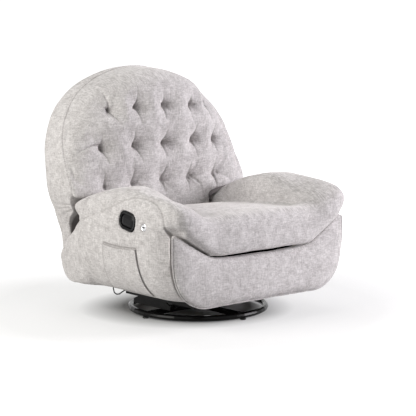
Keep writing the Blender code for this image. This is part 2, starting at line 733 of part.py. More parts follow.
def build_frame(holder, steel, spring_steel, wood, lining):
    """Steel side plates and rails of the chair, with its plywood panels and seat springs."""
    holes = [
        bore((SWIVEL_Y, ROCK_Z), ROCK_PIN_RADIUS),
        bore(DRIVE, TUBE_RADIUS),
        bore((HINGE_Y, HINGE_Z), HINGE_PIN_RADIUS),
    ]
    foot = min(ROCK_Z, DRIVE_Z) - SIDE_PLATE_FOOT
    front_foot = DRIVE_Y - 2 * SIDE_PLATE_FOOT
    rear_foot = SWIVEL_Y + 2 * SIDE_PLATE_FOOT
    rail_low = SIDE_PLATE_TOP - SEAT_RAIL_HEIGHT
    outline = [
        (SIDE_PLATE_FRONT, SIDE_PLATE_TOP), (SIDE_PLATE_FRONT, rail_low - SIDE_PLATE_FOOT),
        (front_foot, foot), (rear_foot, foot), (HINGE_Y, HINGE_Z - HINGE_BOSS),
        *arc((HINGE_Y, HINGE_Z), HINGE_BOSS, -math.pi / 2, math.pi / 3, 6),
        (HINGE_Y - 2 * HINGE_BOSS, SIDE_PLATE_TOP),
    ]
    for name, side in SIDES:
        start = MECHANISM_HALF if side > 0 else -SIDE_PLATE_OUTER
        piece(f"side_plate_{name}", plate(outline, SIDE_PLATE, along_x(start), holes), holder, steel)
        start = PLY_INNER if side > 0 else -PLY_INNER - BASE_RAIL
        rail = rectangle((BASE_RAIL_FRONT, BASE_RAIL_Z), (BASE_RAIL_REAR, BASE_RAIL_Z + BASE_RAIL))
        piece(f"base_rail_{name}", plate(rail, BASE_RAIL, along_x(start)), holder, steel)
        start = PLY_INNER if side > 0 else -PLY_INNER - ARM_PLY
        panel = rectangle((ARM_PLY_FRONT, PLY_LOW), (ARM_PLY_REAR, ARM_PLY_TOP))
        piece(f"arm_panel_{name}", plate(panel, ARM_PLY, along_x(start)), holder, wood)
    half = MECHANISM_HALF - GAP
    for name, y in (("front_seat_rail", SEAT_RAIL_FRONT_Y), ("rear_seat_rail", SEAT_RAIL_REAR_Y)):
        low = (-half, y - SEAT_RAIL_WIDTH / 2, rail_low)
        box(name, low, (half, y + SEAT_RAIL_WIDTH / 2, SIDE_PLATE_TOP), holder, steel)
    low = (-half, SWIVEL_Y - CARRIAGE_LENGTH / 2, SPRING_PLATE_Z)
    high = (half, SWIVEL_Y + CARRIAGE_LENGTH / 2, SPRING_PLATE_Z + SPRING_PLATE)
    box("spring_plate", low, high, holder, steel)
    low = (-half, REAR_PANEL_Y, SKIRT_Z)
    box("rear_panel", low, (half, REAR_PANEL_Y + REAR_PANEL, REAR_PANEL_TOP), holder, lining)
    front = SEAT_RAIL_FRONT_Y + SEAT_RAIL_WIDTH / 2 + GAP
    rear = SEAT_RAIL_REAR_Y - SEAT_RAIL_WIDTH / 2 - GAP
    wave_points = 8
    straight = 4 * SEAT_SPRING_WIRE
    for name, column in (("left", 1), ("middle", 0), ("right", -1)):
        x = column * SEAT_SPRING_PITCH
        z = rail_low + SEAT_RAIL_HEIGHT / 2
        points = [(x, front, z)]
        for i in range(SEAT_SPRING_WAVES * wave_points + 1):
            swing = SEAT_SPRING_SWING * math.sin(2 * math.pi * i / wave_points)
            share = i / (SEAT_SPRING_WAVES * wave_points)
            run = front + straight + (rear - front - 2 * straight) * share
            points.append((x + swing, run, z))
        points.append((x, rear, z))
        tube_curve(f"seat_spring_{name}", points, SEAT_SPRING_WIRE, 0, holder, spring_steel)


def build_arms(holder, cloth):
    """Upholstered arms: a crowned pillow over the side, a tip over the footrest and a thin rear wall."""
    step = 0.0006
    nose = ARM_FACE_Y - ARM_TIP_Y
    tail = WALL_REAR_Y - ARM_REAR_Y
    stations = [
        (ARM_TIP_Y, 0.55), (ARM_TIP_Y + nose * 0.08, 0.80), (ARM_TIP_Y + nose * 0.25, 0.94),
        (ARM_TIP_Y + nose * 0.60, 1.0), (ARM_FACE_Y - step, 1.0), (ARM_FACE_Y + step, 1.0),
    ]
    turn = CORNER_START_Y - ARM_FACE_Y
    stations += [(CORNER_START_Y - turn * share, 1.0) for share in (0.8, 0.55, 0.25)]
    spans = 6
    for i in range(spans):
        stations.append((CORNER_START_Y + (ARM_REAR_Y - CORNER_START_Y) * i / spans, 1.0))
    stations += [
        (ARM_REAR_Y - step, 1.0), (ARM_REAR_Y + step, 1.0), (ARM_REAR_Y + tail * 0.45, 1.0),
        (ARM_REAR_Y + tail * 0.80, 0.97), (ARM_REAR_Y + tail * 0.94, 0.85), (WALL_REAR_Y, 0.55),
    ]
    arms = {}
    for name, side in SIDES:
        rings = [arm_ring(y, fullness, side) for y, fullness in stations]
        arms[name] = piece(f"arm_{name}", loft(rings), holder, cloth, 60)
    return arms


def build_seat(holder, cloth):
    """Crowned seat cushion whose front rolls over into a lip."""
    half = SIDE_PLATE_OUTER - FOAM_PLAY
    rings = []
    columns = 14
    for i in range(columns + 1):
        share = 2 * i / columns - 1
        drawn = 1.0 - 0.10 * abs(share) ** 6
        front = SEAT_FRONT_Y + SEAT_CROWN * share ** 2
        top = SEAT_TOP_Z - SEAT_CROWN * share ** 2
        ring = []
        for u, v in superellipse(24, SEAT_POWER, SEAT_POWER):
            y = (front + SEAT_REAR_Y) / 2 + u * drawn * (SEAT_REAR_Y - front) / 2
            fall = SEAT_CROWN * smooth((y - front) / (SEAT_REAR_Y - front))
            high = top - fall
            z = SEAT_LOW_Z + (v * drawn + drawn) / (2 * drawn) * (high - SEAT_LOW_Z)
            ring.append((half * share, y, z))
        rings.append(ring)
    piece("seat_cushion", loft(rings), holder, cloth, 60)


def tufts():
    """Centres of the sewn tufts on the back: three rows of five."""
    spots = []
    for row, z in enumerate(TUFT_ROWS):
        outer = TUFT_TOP_OUTER if row == 0 else 2 * TUFT_PITCH
        spots += [(x, z) for x in (-outer, -TUFT_PITCH, 0.0, TUFT_PITCH, outer)]
    return spots


def pillow_centre(z):
    """Front of the back cushion on its middle line: it leans below and rolls over at the top."""
    if z < DOME_Z:
        return PILLOW_FRONT_Y + (z - DOME_Z) * math.tan(BACK_LEAN)
    roll_z = DOME_Z + DOME_RADIUS - ROLL_HEIGHT
    front = PILLOW_FRONT_Y - PILLOW_FORWARD * (min(z, roll_z) - DOME_Z)
    over = min(max(z - roll_z, 0.0) / ROLL_HEIGHT, 1.0)
    return front + (CREST_Y - front) * (1 - math.sqrt(1 - over * over))


def pillow_front(x, z, half, spots):
    """Front surface of the back cushion: a crown, drawn in at each tuft."""
    edge = seam_y(z) - PILLOW_EDGE
    depth = (edge - pillow_centre(z)) * bow(x / half, PILLOW_POWER)
    dip = max(math.exp(-((x - tx) ** 2 + (z - tz) ** 2) / (2 * TUFT_SPREAD ** 2)) for tx, tz in spots)
    return edge - max(depth - TUFT_DEPTH * dip, 0.0)


def back_slab(low_half, radius, low_z, near, far):
    """A bent slab that follows the back's seam, for the board and its recess."""
    turns = [math.pi / 2 * i / 8 for i in range(8)] + [math.radians(84)]
    rows = [(low_z, low_half), (BOARD_WAIST_Z, low_half)]
    rows += [(DOME_Z + radius * math.sin(turn), radius * math.cos(turn)) for turn in turns]
    rings = []
    for z, half in rows:
        y = seam_y(z)
        rings.append([(-half, y + near, z), (half, y + near, z), (half, y + far, z), (-half, y + far, z)])
    return loft(rings)


def build_back(holder, cloth, wood, steel):
    """Reclining back: plywood board, tufted cushion, rear shell and hinge brackets."""
    low_half = MECHANISM_HALF - SIDE_PLAY
    spots = tufts()
    dome_top = DOME_Z + DOME_RADIUS
    low_steps = round((DOME_Z - PILLOW_BOTTOM) / PILLOW_ROW)
    rows = [PILLOW_BOTTOM + (DOME_Z - PILLOW_BOTTOM) * i / low_steps for i in range(low_steps + 1)]
    while rows[-1] + PILLOW_ROW < dome_top - 2 * PILLOW_ROW:
        rows.append(rows[-1] + PILLOW_ROW)
    last = dome_top - rows[-1]
    rows += [dome_top - last * share for share in (0.62, 0.35, 0.14, 0.03)]
    rings = []
    for z in rows:
        half = dome_half(z, low_half, PILLOW_FLARE_Z)
        rear = seam_y(z) - GAP
        ring = []
        for i in range(PILLOW_SEGMENTS + 1):
            share = 2 * i / PILLOW_SEGMENTS - 1
            x = half * (0.6 * share + 0.4 * math.sin(math.pi / 2 * share))
            ring.append((x, pillow_front(x, z, half, spots), z))
        ring += [(half * share, rear, z) for share in (1.0, 0.4, -0.4, -1.0)]
        rings.append(ring)
    piece("back_cushion", loft(rings), holder, cloth, 60)

    piece("back_board", back_slab(low_half, BOARD_RADIUS, PILLOW_BOTTOM, 0.0, BOARD), holder, wood)

    shell_front = HINGE_Y + SHELL_SETBACK
    edge = 0.015
    low_rows = [
        (SHELL_BOTTOM, 0.80), (SHELL_BOTTOM + edge, 0.93), (SHELL_BOTTOM + 3 * edge, 1.0),
        (0.3 * SHELL_BOTTOM + 0.7 * SHELL_UNDERCUT_Z, 1.0), (SHELL_UNDERCUT_Z, 1.0),
    ]
    low_rows += [(SHELL_UNDERCUT_Z + (DOME_Z - SHELL_UNDERCUT_Z) * share, 1.0) for share in (0.25, 0.5, 0.75)]
    turns = 12
    high_rows = [(DOME_Z + DOME_RADIUS * math.sin(math.pi / 2 * i / turns), 1.0) for i in range(turns)]
    high_rows.append((dome_top - edge * 0.15, 1.0))
    rings = []
    for z, fullness in low_rows + high_rows:
        half = dome_half(z, SHELL_LOW_HALF, SHELL_FLARE_Z) * fullness
        undercut = smooth((DOME_Z - z) / (DOME_Z - SHELL_UNDERCUT_Z))
        front = seam_y(z) + GAP
        front += (shell_front - front) * undercut
        rear = SHELL_REAR_Y + (SHELL_TOP_REAR_Y - SHELL_REAR_Y) * smooth((z - DOME_Z) / SHELL_RISE)
        rear -= SHELL_TUCK * max(DOME_Z - z, 0.0)
        over = max(z - dome_top + SHELL_ROLL, 0.0) / SHELL_ROLL
        rear = front + SHELL_EDGE + (rear - front - SHELL_EDGE) * math.sqrt(1 - over * over)
        ring = [(half, front, z), (-half, front, z)]
        columns = 16
        for i in range(columns + 1):
            share = math.sin(math.pi / 2 * (2 * i / columns - 1))
            depth = (rear - front - SHELL_EDGE) * fullness * bow(share, SHELL_POWER)
            ring.append((half * share, front + SHELL_EDGE + depth, z))
        rings.append(ring)
    shell = piece("back_shell", loft(rings), holder, cloth, 60)
    recess_low = BOARD_WAIST_Z - PILLOW_EDGE
    recess = back_slab(low_half + FOAM_PLAY, BOARD_RADIUS + FOAM_PLAY, recess_low, -BOARD, BOARD + GAP)
    cut(shell, recess, "board_recess")

    pivot = (HINGE_Y, HINGE_Z)
    face = BOARD + GAP
    outline = [
        (seam_y(BRACKET_TOP_Z) + face, BRACKET_TOP_Z),
        (seam_y(BRACKET_LOW_Z) + face, BRACKET_LOW_Z),
        *arc(pivot, HINGE_BOSS, -0.85 * math.pi, 0.1 * math.pi, 8),
        (seam_y(BRACKET_TOP_Z) + face + BRACKET_WIDTH, BRACKET_TOP_Z),
    ]
    inner = MECHANISM_HALF - SIDE_PLAY - BRACKET
    shank = SIDE_PLATE_OUTER + GAP - inner - BRACKET / 2
    head_radius = HINGE_BOSS * 0.6
    profile = [
        (0, HINGE_PIN_RADIUS), (shank, HINGE_PIN_RADIUS), (shank, head_radius),
        (shank + HINGE_PIN_HEAD, head_radius),
    ]
    for name, side in SIDES:
        start = inner if side > 0 else -inner - BRACKET
        bracket = piece(f"back_bracket_{name}", plate(outline, BRACKET, along_x(start)), holder, steel)
        start = (side * (inner + BRACKET / 2), *pivot)
        fuse(bracket, turned(profile, start, (side, 0, 0)), f"hinge_pin_{name}")


def panel_high(x):
    """Upper edge of the footrest panel, which follows the underside of the lip and the arm tips."""
    return SEAT_LOW_Z - PANEL_DROP + LIP_SLOPE * max(x - LIP_HALF, 0.0)


def panel_low(x):
    """Lower edge of the footrest panel, with round corners."""
    run = max(x - (PANEL_HALF - PANEL_CORNER), 0.0)
    return PANEL_BOTTOM + PANEL_CORNER - math.sqrt(max(PANEL_CORNER ** 2 - run ** 2, 0.0))


def stud(target, centre, start, side, name):
    """A rivet on a link's inner layer that goes out through the eye of the next link."""
    reach = SIDE_PLAY + LINK + SIDE_PLAY / 2 + LINK / 2
    shank = turned([(0, STUD_RADIUS), (reach, STUD_RADIUS)], (side * start, *centre), (side, 0, 0))
    fuse(target, shank, name)


def build_footrest(cloth, wood, steel):
    """Fold-out footrest: torque tube, three pairs of links and the padded panel."""
    first = body("footrest_link_a", (0, *DRIVE))
    second = body("footrest_link_b", (0, *KNEE_TOP))
    third = body("footrest_link_c", (0, *KNEE_LOW))
    panel = body("footrest_panel", (0, *PANEL_PIVOT))
    reach = SIDE_PLATE_OUTER - GAP
    profile = [(0, TUBE_RADIUS), (2 * reach, TUBE_RADIUS)]
    piece("torque_tube", turned(profile, (-reach, *DRIVE), (1, 0, 0)), first, steel)

    def layer(start, side, thick=LINK):
        return along_x(start if side > 0 else -start - thick)

    board_face = PANEL_REAR_Y + GAP
    board_rear = board_face + PANEL_BOARD
    bracket = [
        (board_rear + GAP, PANEL_BRACKET_LOW_Z), (board_rear + PANEL_BRACKET_WIDTH, PANEL_BRACKET_LOW_Z),
        *arc(PANEL_PIVOT, LINK_EYE, 0, math.pi / 2, 5), (board_rear + GAP, PANEL_PIVOT[1] + LINK_EYE),
    ]
    for name, side in SIDES:
        outline = link_outline(DRIVE, KNEE_TOP, LINK_ROOT_EYE, LINK_EYE)
        holes = [bore(DRIVE, TUBE_RADIUS), bore(KNEE_TOP, STUD_RADIUS)]
        link = plate(outline, LINK, layer(LINK_OUTER_LAYER, side), holes)
        piece(f"footrest_link_a_{name}", link, first, steel)
        outline = link_outline(KNEE_TOP, KNEE_LOW, LINK_EYE, LINK_EYE)
        link = plate(outline, LINK, layer(LINK_INNER_LAYER, side))
        middle = piece(f"footrest_link_b_{name}", link, second, steel)
        start = LINK_INNER_LAYER + LINK / 2
        stud(middle, KNEE_TOP, start, side, f"top_rivet_{name}")
        stud(middle, KNEE_LOW, start, side, f"low_rivet_{name}")
        outline = link_outline(KNEE_LOW, PANEL_PIVOT, LINK_EYE, LINK_EYE)
        holes = [bore(KNEE_LOW, STUD_RADIUS), bore(PANEL_PIVOT, STUD_RADIUS)]
        link = plate(outline, LINK, layer(LINK_OUTER_LAYER, side), holes)
        piece(f"footrest_link_c_{name}", link, third, steel)
        link = plate(bracket, LINK, layer(LINK_INNER_LAYER, side))
        holder = piece(f"footrest_bracket_{name}", link, panel, steel)
        stud(holder, PANEL_PIVOT, start, side, f"panel_rivet_{name}")

    board_top = SEAT_LOW_Z - PANEL_DROP - SIDE_PLAY
    low = (-MECHANISM_HALF, board_face, PANEL_BOARD_LOW_Z)
    box("footrest_board", low, (MECHANISM_HALF, board_rear, board_top), panel, wood)
    rings = []
    columns = 26
    for i in range(columns + 1):
        share = math.sin(math.pi / 2 * (2 * i / columns - 1))
        x = PANEL_HALF * share
        drawn = 1.0 - 0.25 * abs(share) ** 24
        low, high = panel_low(abs(x)), panel_high(abs(x))
        front = PANEL_FRONT_Y + PANEL_CROWN * share ** 2
        ring = []
        for u, v in superellipse(16, PANEL_POWER, PANEL_POWER):
            depth = (PANEL_REAR_Y - front) * drawn
            y = PANEL_REAR_Y - depth / 2 + u * depth / 2
            ring.append((x, y, (low + high) / 2 + v * drawn * (high - low) / 2))
        rings.append(ring)
    piece("footrest_pad", loft(rings), panel, cloth, 60)


def build_latch(holder, arm, plastic, spring_steel):
    """Recessed pull latch: cup, lever on its own axis, pin and return spring."""
    frame = side_frame(LATCH_Y, LATCH_Z, LATCH_TILT)
    opening = LATCH_FLANGE + LATCH_WALL
    rim = 0.003
    levels = [
        (LATCH_FLANGE, -LATCH_DEPTH), (LATCH_FLANGE, -LATCH_FLANGE_THICK), (0.0, -LATCH_FLANGE_THICK),
        (0.0, 0.0), (LATCH_FLANGE / 2, rim), (opening, rim / 3), (opening, LATCH_WALL - LATCH_DEPTH),
    ]
    piece("latch_cup", latch_loft(frame, levels), holder, plastic)
    far_out = 0.05
    recess = [
        (-FOAM_PLAY, far_out), (-FOAM_PLAY, -LATCH_FLANGE_THICK - GAP),
        (LATCH_FLANGE - FOAM_PLAY, -LATCH_FLANGE_THICK - GAP), (LATCH_FLANGE - FOAM_PLAY, -LATCH_DEPTH - GAP),
    ]
    cut(arm, latch_loft(frame, recess), "latch_recess")

    inset = opening + LEVER_PLAY
    lever_back = -LEVER_SINK - LEVER_THICK
    pin_a = LATCH_HALF_LENGTH - inset - LEVER_PIN_INSET
    pin_depth = lever_back + LEVER_THICK / 2
    lever_body = body("latch_lever_axis", frame @ Vector((pin_a, 0, pin_depth)))
    edge = 0.0015
    levels = [
        (inset + edge, lever_back), (inset, lever_back + edge), (inset, -LEVER_SINK),
        (inset + 4 * edge, -LEVER_SINK + 2 * edge), (inset + 9 * edge, -LEVER_SINK + 3 * edge),
    ]
    lever = piece("latch_lever", latch_loft(frame, levels), lever_body, plastic)
    half = LATCH_HALF_HEIGHT - opening - GAP
    up = (frame.to_3x3() @ Vector((0, 1, 0))).normalized()
    sides = 12
    bore_radius = (LEVER_PIN_RADIUS + PIN_PLAY) / math.cos(math.pi / sides)
    drill = turned(
        [(0, bore_radius), (4 * half, bore_radius)],
        frame @ Vector((pin_a, -2 * half, pin_depth)), up, sides,
    )
    cut(lever, drill, "lever_bore")
    corner = LATCH_CORNER - opening
    run = pin_a + LEVER_PIN_RADIUS - (LATCH_HALF_LENGTH - opening - corner)
    pin_half = half - corner + 0.97 * math.sqrt(corner ** 2 - run ** 2)
    pin = turned(
        [(0, LEVER_PIN_RADIUS), (2 * pin_half, LEVER_PIN_RADIUS)],
        frame @ Vector((pin_a, -pin_half, pin_depth)), up, sides,
    )
    piece("latch_pin", pin, holder, spring_steel)
    out = frame.to_3x3() @ Vector((0, 0, 1))
    floor = LATCH_WALL - LATCH_DEPTH + GAP
    foot = frame @ Vector((-LATCH_HALF_LENGTH * 0.3, 0, floor))
    coil("latch_spring", foot, out, lever_back - GAP - floor, 0.004, 0.0005, 4, holder, spring_steel)
    return frame


def build_port(holder, arm, chrome, plastic):
    """Round charging port: bright bezel and dark socket."""
    frame = side_frame(PORT_Y, PORT_Z, 0.0)
    out = frame.to_3x3() @ Vector((0, 0, 1))
    rim = 0.002
    floor = PORT_DEPTH - PORT_SOCKET - rim
    inner = PORT_BODY - PORT_WALL
    profile = [
        (0, PORT_BODY), (PORT_DEPTH - rim, PORT_BODY), (PORT_DEPTH - rim, PORT_RADIUS),
        (PORT_DEPTH, PORT_RADIUS), (PORT_DEPTH + rim, PORT_RADIUS - 1.5 * rim), (PORT_DEPTH + rim / 2, inner),
        (floor, inner),
    ]
    start = frame @ Vector((0, 0, -PORT_DEPTH))
    piece("port_bezel", turned(profile, start, out, 20), holder, chrome)
    hole = [
        (-GAP, PORT_BODY + FOAM_PLAY), (PORT_DEPTH - rim - GAP, PORT_BODY + FOAM_PLAY),
        (PORT_DEPTH - rim - GAP, PORT_RADIUS + FOAM_PLAY), (2 * PORT_DEPTH, PORT_RADIUS + FOAM_PLAY),
    ]
    cut(arm, turned(hole, start, out, 20), "port_recess")
    slot = rectangle((-PORT_SLOT_LENGTH / 2, -PORT_SLOT_HEIGHT / 2), (PORT_SLOT_LENGTH / 2, PORT_SLOT_HEIGHT / 2))

    def place(u, v, w):
        return frame @ Vector((u, v, floor - PORT_DEPTH + GAP + w))

    disc = circle((0, 0), inner - GAP * 2, 20)
    piece("port_socket", plate(disc, PORT_SOCKET, place, [slot]), holder, plastic)


def build_cable(holder, arm, latch, rubber, steel):
    """Release cable: down a channel in the arm, out in a small loop below it and into a clip on the rail."""
    start = latch @ Vector((0, 0, -LATCH_DEPTH - CABLE_RADIUS - GAP))
    rail_face = PLY_INNER + BASE_RAIL + GAP
    clip_z = BASE_RAIL_Z + BASE_RAIL - 0.6 * CLIP_SIZE
    cable_end = -rail_face - CLIP_SIZE - 2 * GAP
    exit_point = Vector((-CABLE_EXIT_X, CLIP_Y, SKIRT_Z + CABLE_EXIT_RISE))
    route = [
        start, start.lerp(exit_point, 1 / 3), start.lerp(exit_point, 2 / 3), exit_point,
        *((inward - CABLE_EXIT_X, CLIP_Y, SKIRT_Z - drop) for inward, drop in CABLE_LOOP),
        (cable_end - 5 * CABLE_RADIUS, CLIP_Y, clip_z), (cable_end, CLIP_Y, clip_z),
    ]
    tube_curve("release_cable", smooth_route(route, 5 * CABLE_RADIUS), CABLE_RADIUS, 2, holder, rubber)
    run = exit_point - start
    reach = run.length + CHANNEL_SPARE
    channel = turned([(-CHANNEL_LEAD, CABLE_CHANNEL), (reach, CABLE_CHANNEL)], start, run, 10)
    cut(arm, channel, "cable_channel")
    low = (-rail_face - CLIP_SIZE, CLIP_Y - CLIP_SIZE / 2, clip_z - CLIP_SIZE / 2)
    box("cable_clip", low, (-rail_face, CLIP_Y + CLIP_SIZE / 2, clip_z + CLIP_SIZE / 2), holder, steel)


def build_pocket(holder, arm, cloth):
    """Patch pocket let into the side: flush cloth over a shallow hollow that is open at the mouth."""
    columns, levels = 10, 8

    def grid(margin, top, surface):
        rings = []
        low_z = POCKET_BOTTOM - margin
        for i in range(columns + 1):
            run = POCKET_REAR_Y - POCKET_FRONT_Y + 2 * margin
            y = POCKET_FRONT_Y - margin + run * i / columns
            near, far = [], []
            for j in range(levels + 1):
                z = low_z + (top - low_z) * j / levels
                inner, outer = surface(i / columns, j / levels)
                near.append((-side_face(y, z) - outer, y, z))
                far.append((-side_face(y, z) - inner, y, z))
            rings.append(near + far[::-1])
        return loft(rings)

    hollow = POCKET_FULLNESS + POCKET_CLOTH + FOAM_PLAY

    def patch(across, up):
        full = math.sqrt(math.sin(math.pi * across)) if 0 < across < 1 else 0.0
        sunk = POCKET_FULLNESS * (1 - full * smooth(2 * up))
        return -sunk - POCKET_CLOTH, -sunk

    piece("side_pocket", grid(0.0, POCKET_TOP, patch), holder, cloth, 60)
    cutter = grid(POCKET_MARGIN, POCKET_TOP + POCKET_SCOOP, lambda across, up: (-hollow, hollow))
    cut(arm, cutter, "pocket_hollow")


def main():
    """Build the chair body by body, from the floor up."""
    clear_scene()
    steel = finish("black_steel", (0.02, 0.02, 0.02), 0.3, 0.6)
    spring_steel = finish("spring_steel", (0.35, 0.35, 0.36), 0.35, 1.0)
    rubber = finish("rubber", (0.015, 0.015, 0.015), 0.7)
    wood = finish("plywood", (0.55, 0.40, 0.24), 0.7)
    lining = finish("black_lining", (0.03, 0.03, 0.03), 0.9)
    cloth = finish("grey_chenille", (0.58, 0.56, 0.54), 0.9)
    plastic = finish("black_plastic", (0.015, 0.015, 0.016), 0.4)
    chrome = finish("chrome", (0.80, 0.80, 0.80), 0.12, 1.0)
    build_base(steel, rubber)
    build_carriage(steel, spring_steel)
    chair = body("chair", (0, SWIVEL_Y, ROCK_Z))
    build_frame(chair, steel, spring_steel, wood, lining)
    arms = build_arms(chair, cloth)
    build_seat(chair, cloth)
    latch = build_latch(chair, arms["right"], plastic, spring_steel)
    build_port(chair, arms["right"], chrome, plastic)
    build_cable(chair, arms["right"], latch, rubber, steel)
    build_pocket(chair, arms["right"], cloth)
    build_back(body("backrest", (0, HINGE_Y, HINGE_Z)), cloth, wood, steel)
    build_footrest(cloth, wood, steel)


main()
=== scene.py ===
"""Looks of a swivel rocker recliner: soft covers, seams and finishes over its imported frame.

The soft pieces are laid out from the seat, in metres with +Z up, from the same sizes as the frame's solids,
and moved to the frame's origin when they become meshes. The sitter faces -Y.
"""

import json
import logging
import math
from collections.abc import Callable, Sequence
from dataclasses import dataclass, field, replace
from enum import Enum

import bmesh
import bpy
import numpy as np
from mathutils import Matrix, Vector, noise
from mathutils.bvhtree import BVHTree


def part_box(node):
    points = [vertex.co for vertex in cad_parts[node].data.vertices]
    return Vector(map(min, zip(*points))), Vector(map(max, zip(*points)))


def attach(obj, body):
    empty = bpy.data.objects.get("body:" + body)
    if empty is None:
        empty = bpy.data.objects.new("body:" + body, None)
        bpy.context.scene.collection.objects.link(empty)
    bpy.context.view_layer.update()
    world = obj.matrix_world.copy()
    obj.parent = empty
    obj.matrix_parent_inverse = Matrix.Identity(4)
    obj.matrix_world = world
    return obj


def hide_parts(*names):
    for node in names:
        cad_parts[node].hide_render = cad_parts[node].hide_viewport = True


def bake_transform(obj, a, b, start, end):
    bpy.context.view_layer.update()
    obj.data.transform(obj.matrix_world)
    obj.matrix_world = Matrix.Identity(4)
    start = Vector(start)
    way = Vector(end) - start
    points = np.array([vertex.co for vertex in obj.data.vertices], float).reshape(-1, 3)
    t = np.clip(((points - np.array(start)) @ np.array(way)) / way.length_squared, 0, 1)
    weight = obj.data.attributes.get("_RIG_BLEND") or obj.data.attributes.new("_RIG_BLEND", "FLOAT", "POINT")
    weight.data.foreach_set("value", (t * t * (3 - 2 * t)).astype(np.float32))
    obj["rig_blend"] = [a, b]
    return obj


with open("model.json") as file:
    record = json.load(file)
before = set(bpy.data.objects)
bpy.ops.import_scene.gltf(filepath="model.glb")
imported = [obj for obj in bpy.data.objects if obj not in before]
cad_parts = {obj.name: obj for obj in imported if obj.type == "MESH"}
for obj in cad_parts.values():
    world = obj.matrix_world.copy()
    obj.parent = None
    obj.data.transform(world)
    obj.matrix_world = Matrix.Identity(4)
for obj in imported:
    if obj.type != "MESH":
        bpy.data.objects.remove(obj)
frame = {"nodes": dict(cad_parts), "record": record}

LOG = logging.getLogger("recliner")
ORIGIN = np.array((0.0, -0.02355, 0.0))
LIP_BEND = 0.028
SEAM_STEP = 0.006
CREASE_STEP = 0.005
Colour = tuple[float, float, float]
Point = tuple[float, float, float]


class Body(str, Enum):
    """Bodies of the frame that the covers and trims ride on."""

    CARRIAGE = "carriage"
    CHAIR = "chair"
    BACK = "backrest"
    OTTOMAN = "ottoman"


class Slot(str, Enum):
    """Material slots of the record."""

    CLOTH = "grey_chenille"
    STEEL = "black_steel"
    SPRING = "spring_steel"
    RUBBER = "rubber"
    PLY = "plywood"
    LINING = "black_lining"
    PLASTIC = "black_plastic"
    CHROME = "chrome"


# Node trees


class Nodes:
    """A node tree under construction, for a material or for geometry."""

    def __init__(self, tree: bpy.types.NodeTree) -> None:
        """Take over an empty or fresh tree."""
        self.tree = tree

    def node(self, kind: str, settings: dict | None = None, inputs: dict | None = None) -> bpy.types.Node:
        """Add any node.

        Args:
            kind: Type name of the node.
            settings: Attributes to set first.
            inputs: Socket names or numbers with the values or links that they take.

        Returns:
            The new node.
        """
        made = self.tree.nodes.new(kind)
        for key, value in (settings or {}).items():
            setattr(made, key, value)
        for key, value in (inputs or {}).items():
            self.plug(made.inputs[key], value)
        return made

    def plug(self, socket: bpy.types.NodeSocket, value: object) -> None:
        """Link a socket to a wire or another socket, or set its value.

        Args:
            socket: Input socket to fill.
            value: Wire, output socket or plain value that it takes.
        """
        if isinstance(value, Wire):
            value = value.socket
        if isinstance(value, bpy.types.NodeSocket):
            self.tree.links.new(value, socket)
        else:
            socket.default_value = value


class Wire:
    """A value socket; Python's operators on it add Math nodes."""

    def __init__(self, nodes: Nodes, socket: bpy.types.NodeSocket) -> None:
        """Wrap an output socket of the tree."""
        self.nodes = nodes
        self.socket = socket

    def maths(self, operation: str, first: object, second: object = 0.0, clamp: bool = False) -> "Wire":
        """Add one Math node.

        Args:
            operation: Blender's name of the operation.
            first: First wire or number.
            second: Second wire or number.
            clamp: Keep the result between 0 and 1.

        Returns:
            The result as a wire.
        """
        settings = {"operation": operation, "use_clamp": clamp}
        made = self.nodes.node("ShaderNodeMath", settings, {0: first, 1: second})
        return Wire(self.nodes, made.outputs[0])

    def __add__(self, other: object) -> "Wire":
        """Sum."""
        return self.maths("ADD", self, other)

    def __radd__(self, other: object) -> "Wire":
        """Sum, from the right."""
        return self.maths("ADD", other, self)

    def __sub__(self, other: object) -> "Wire":
        """Difference."""
        return self.maths("SUBTRACT", self, other)

    def __rsub__(self, other: object) -> "Wire":
        """Difference, from the right."""
        return self.maths("SUBTRACT", other, self)

    def __mul__(self, other: object) -> "Wire":
        """Product."""
        return self.maths("MULTIPLY", self, other)

    def clamped(self) -> "Wire":
        """Keep the value between 0 and 1."""
        return self.maths("ADD", self, 0.0, True)

    def size(self) -> "Wire":
        """The value without its sign."""
        return self.maths("ABSOLUTE", self)


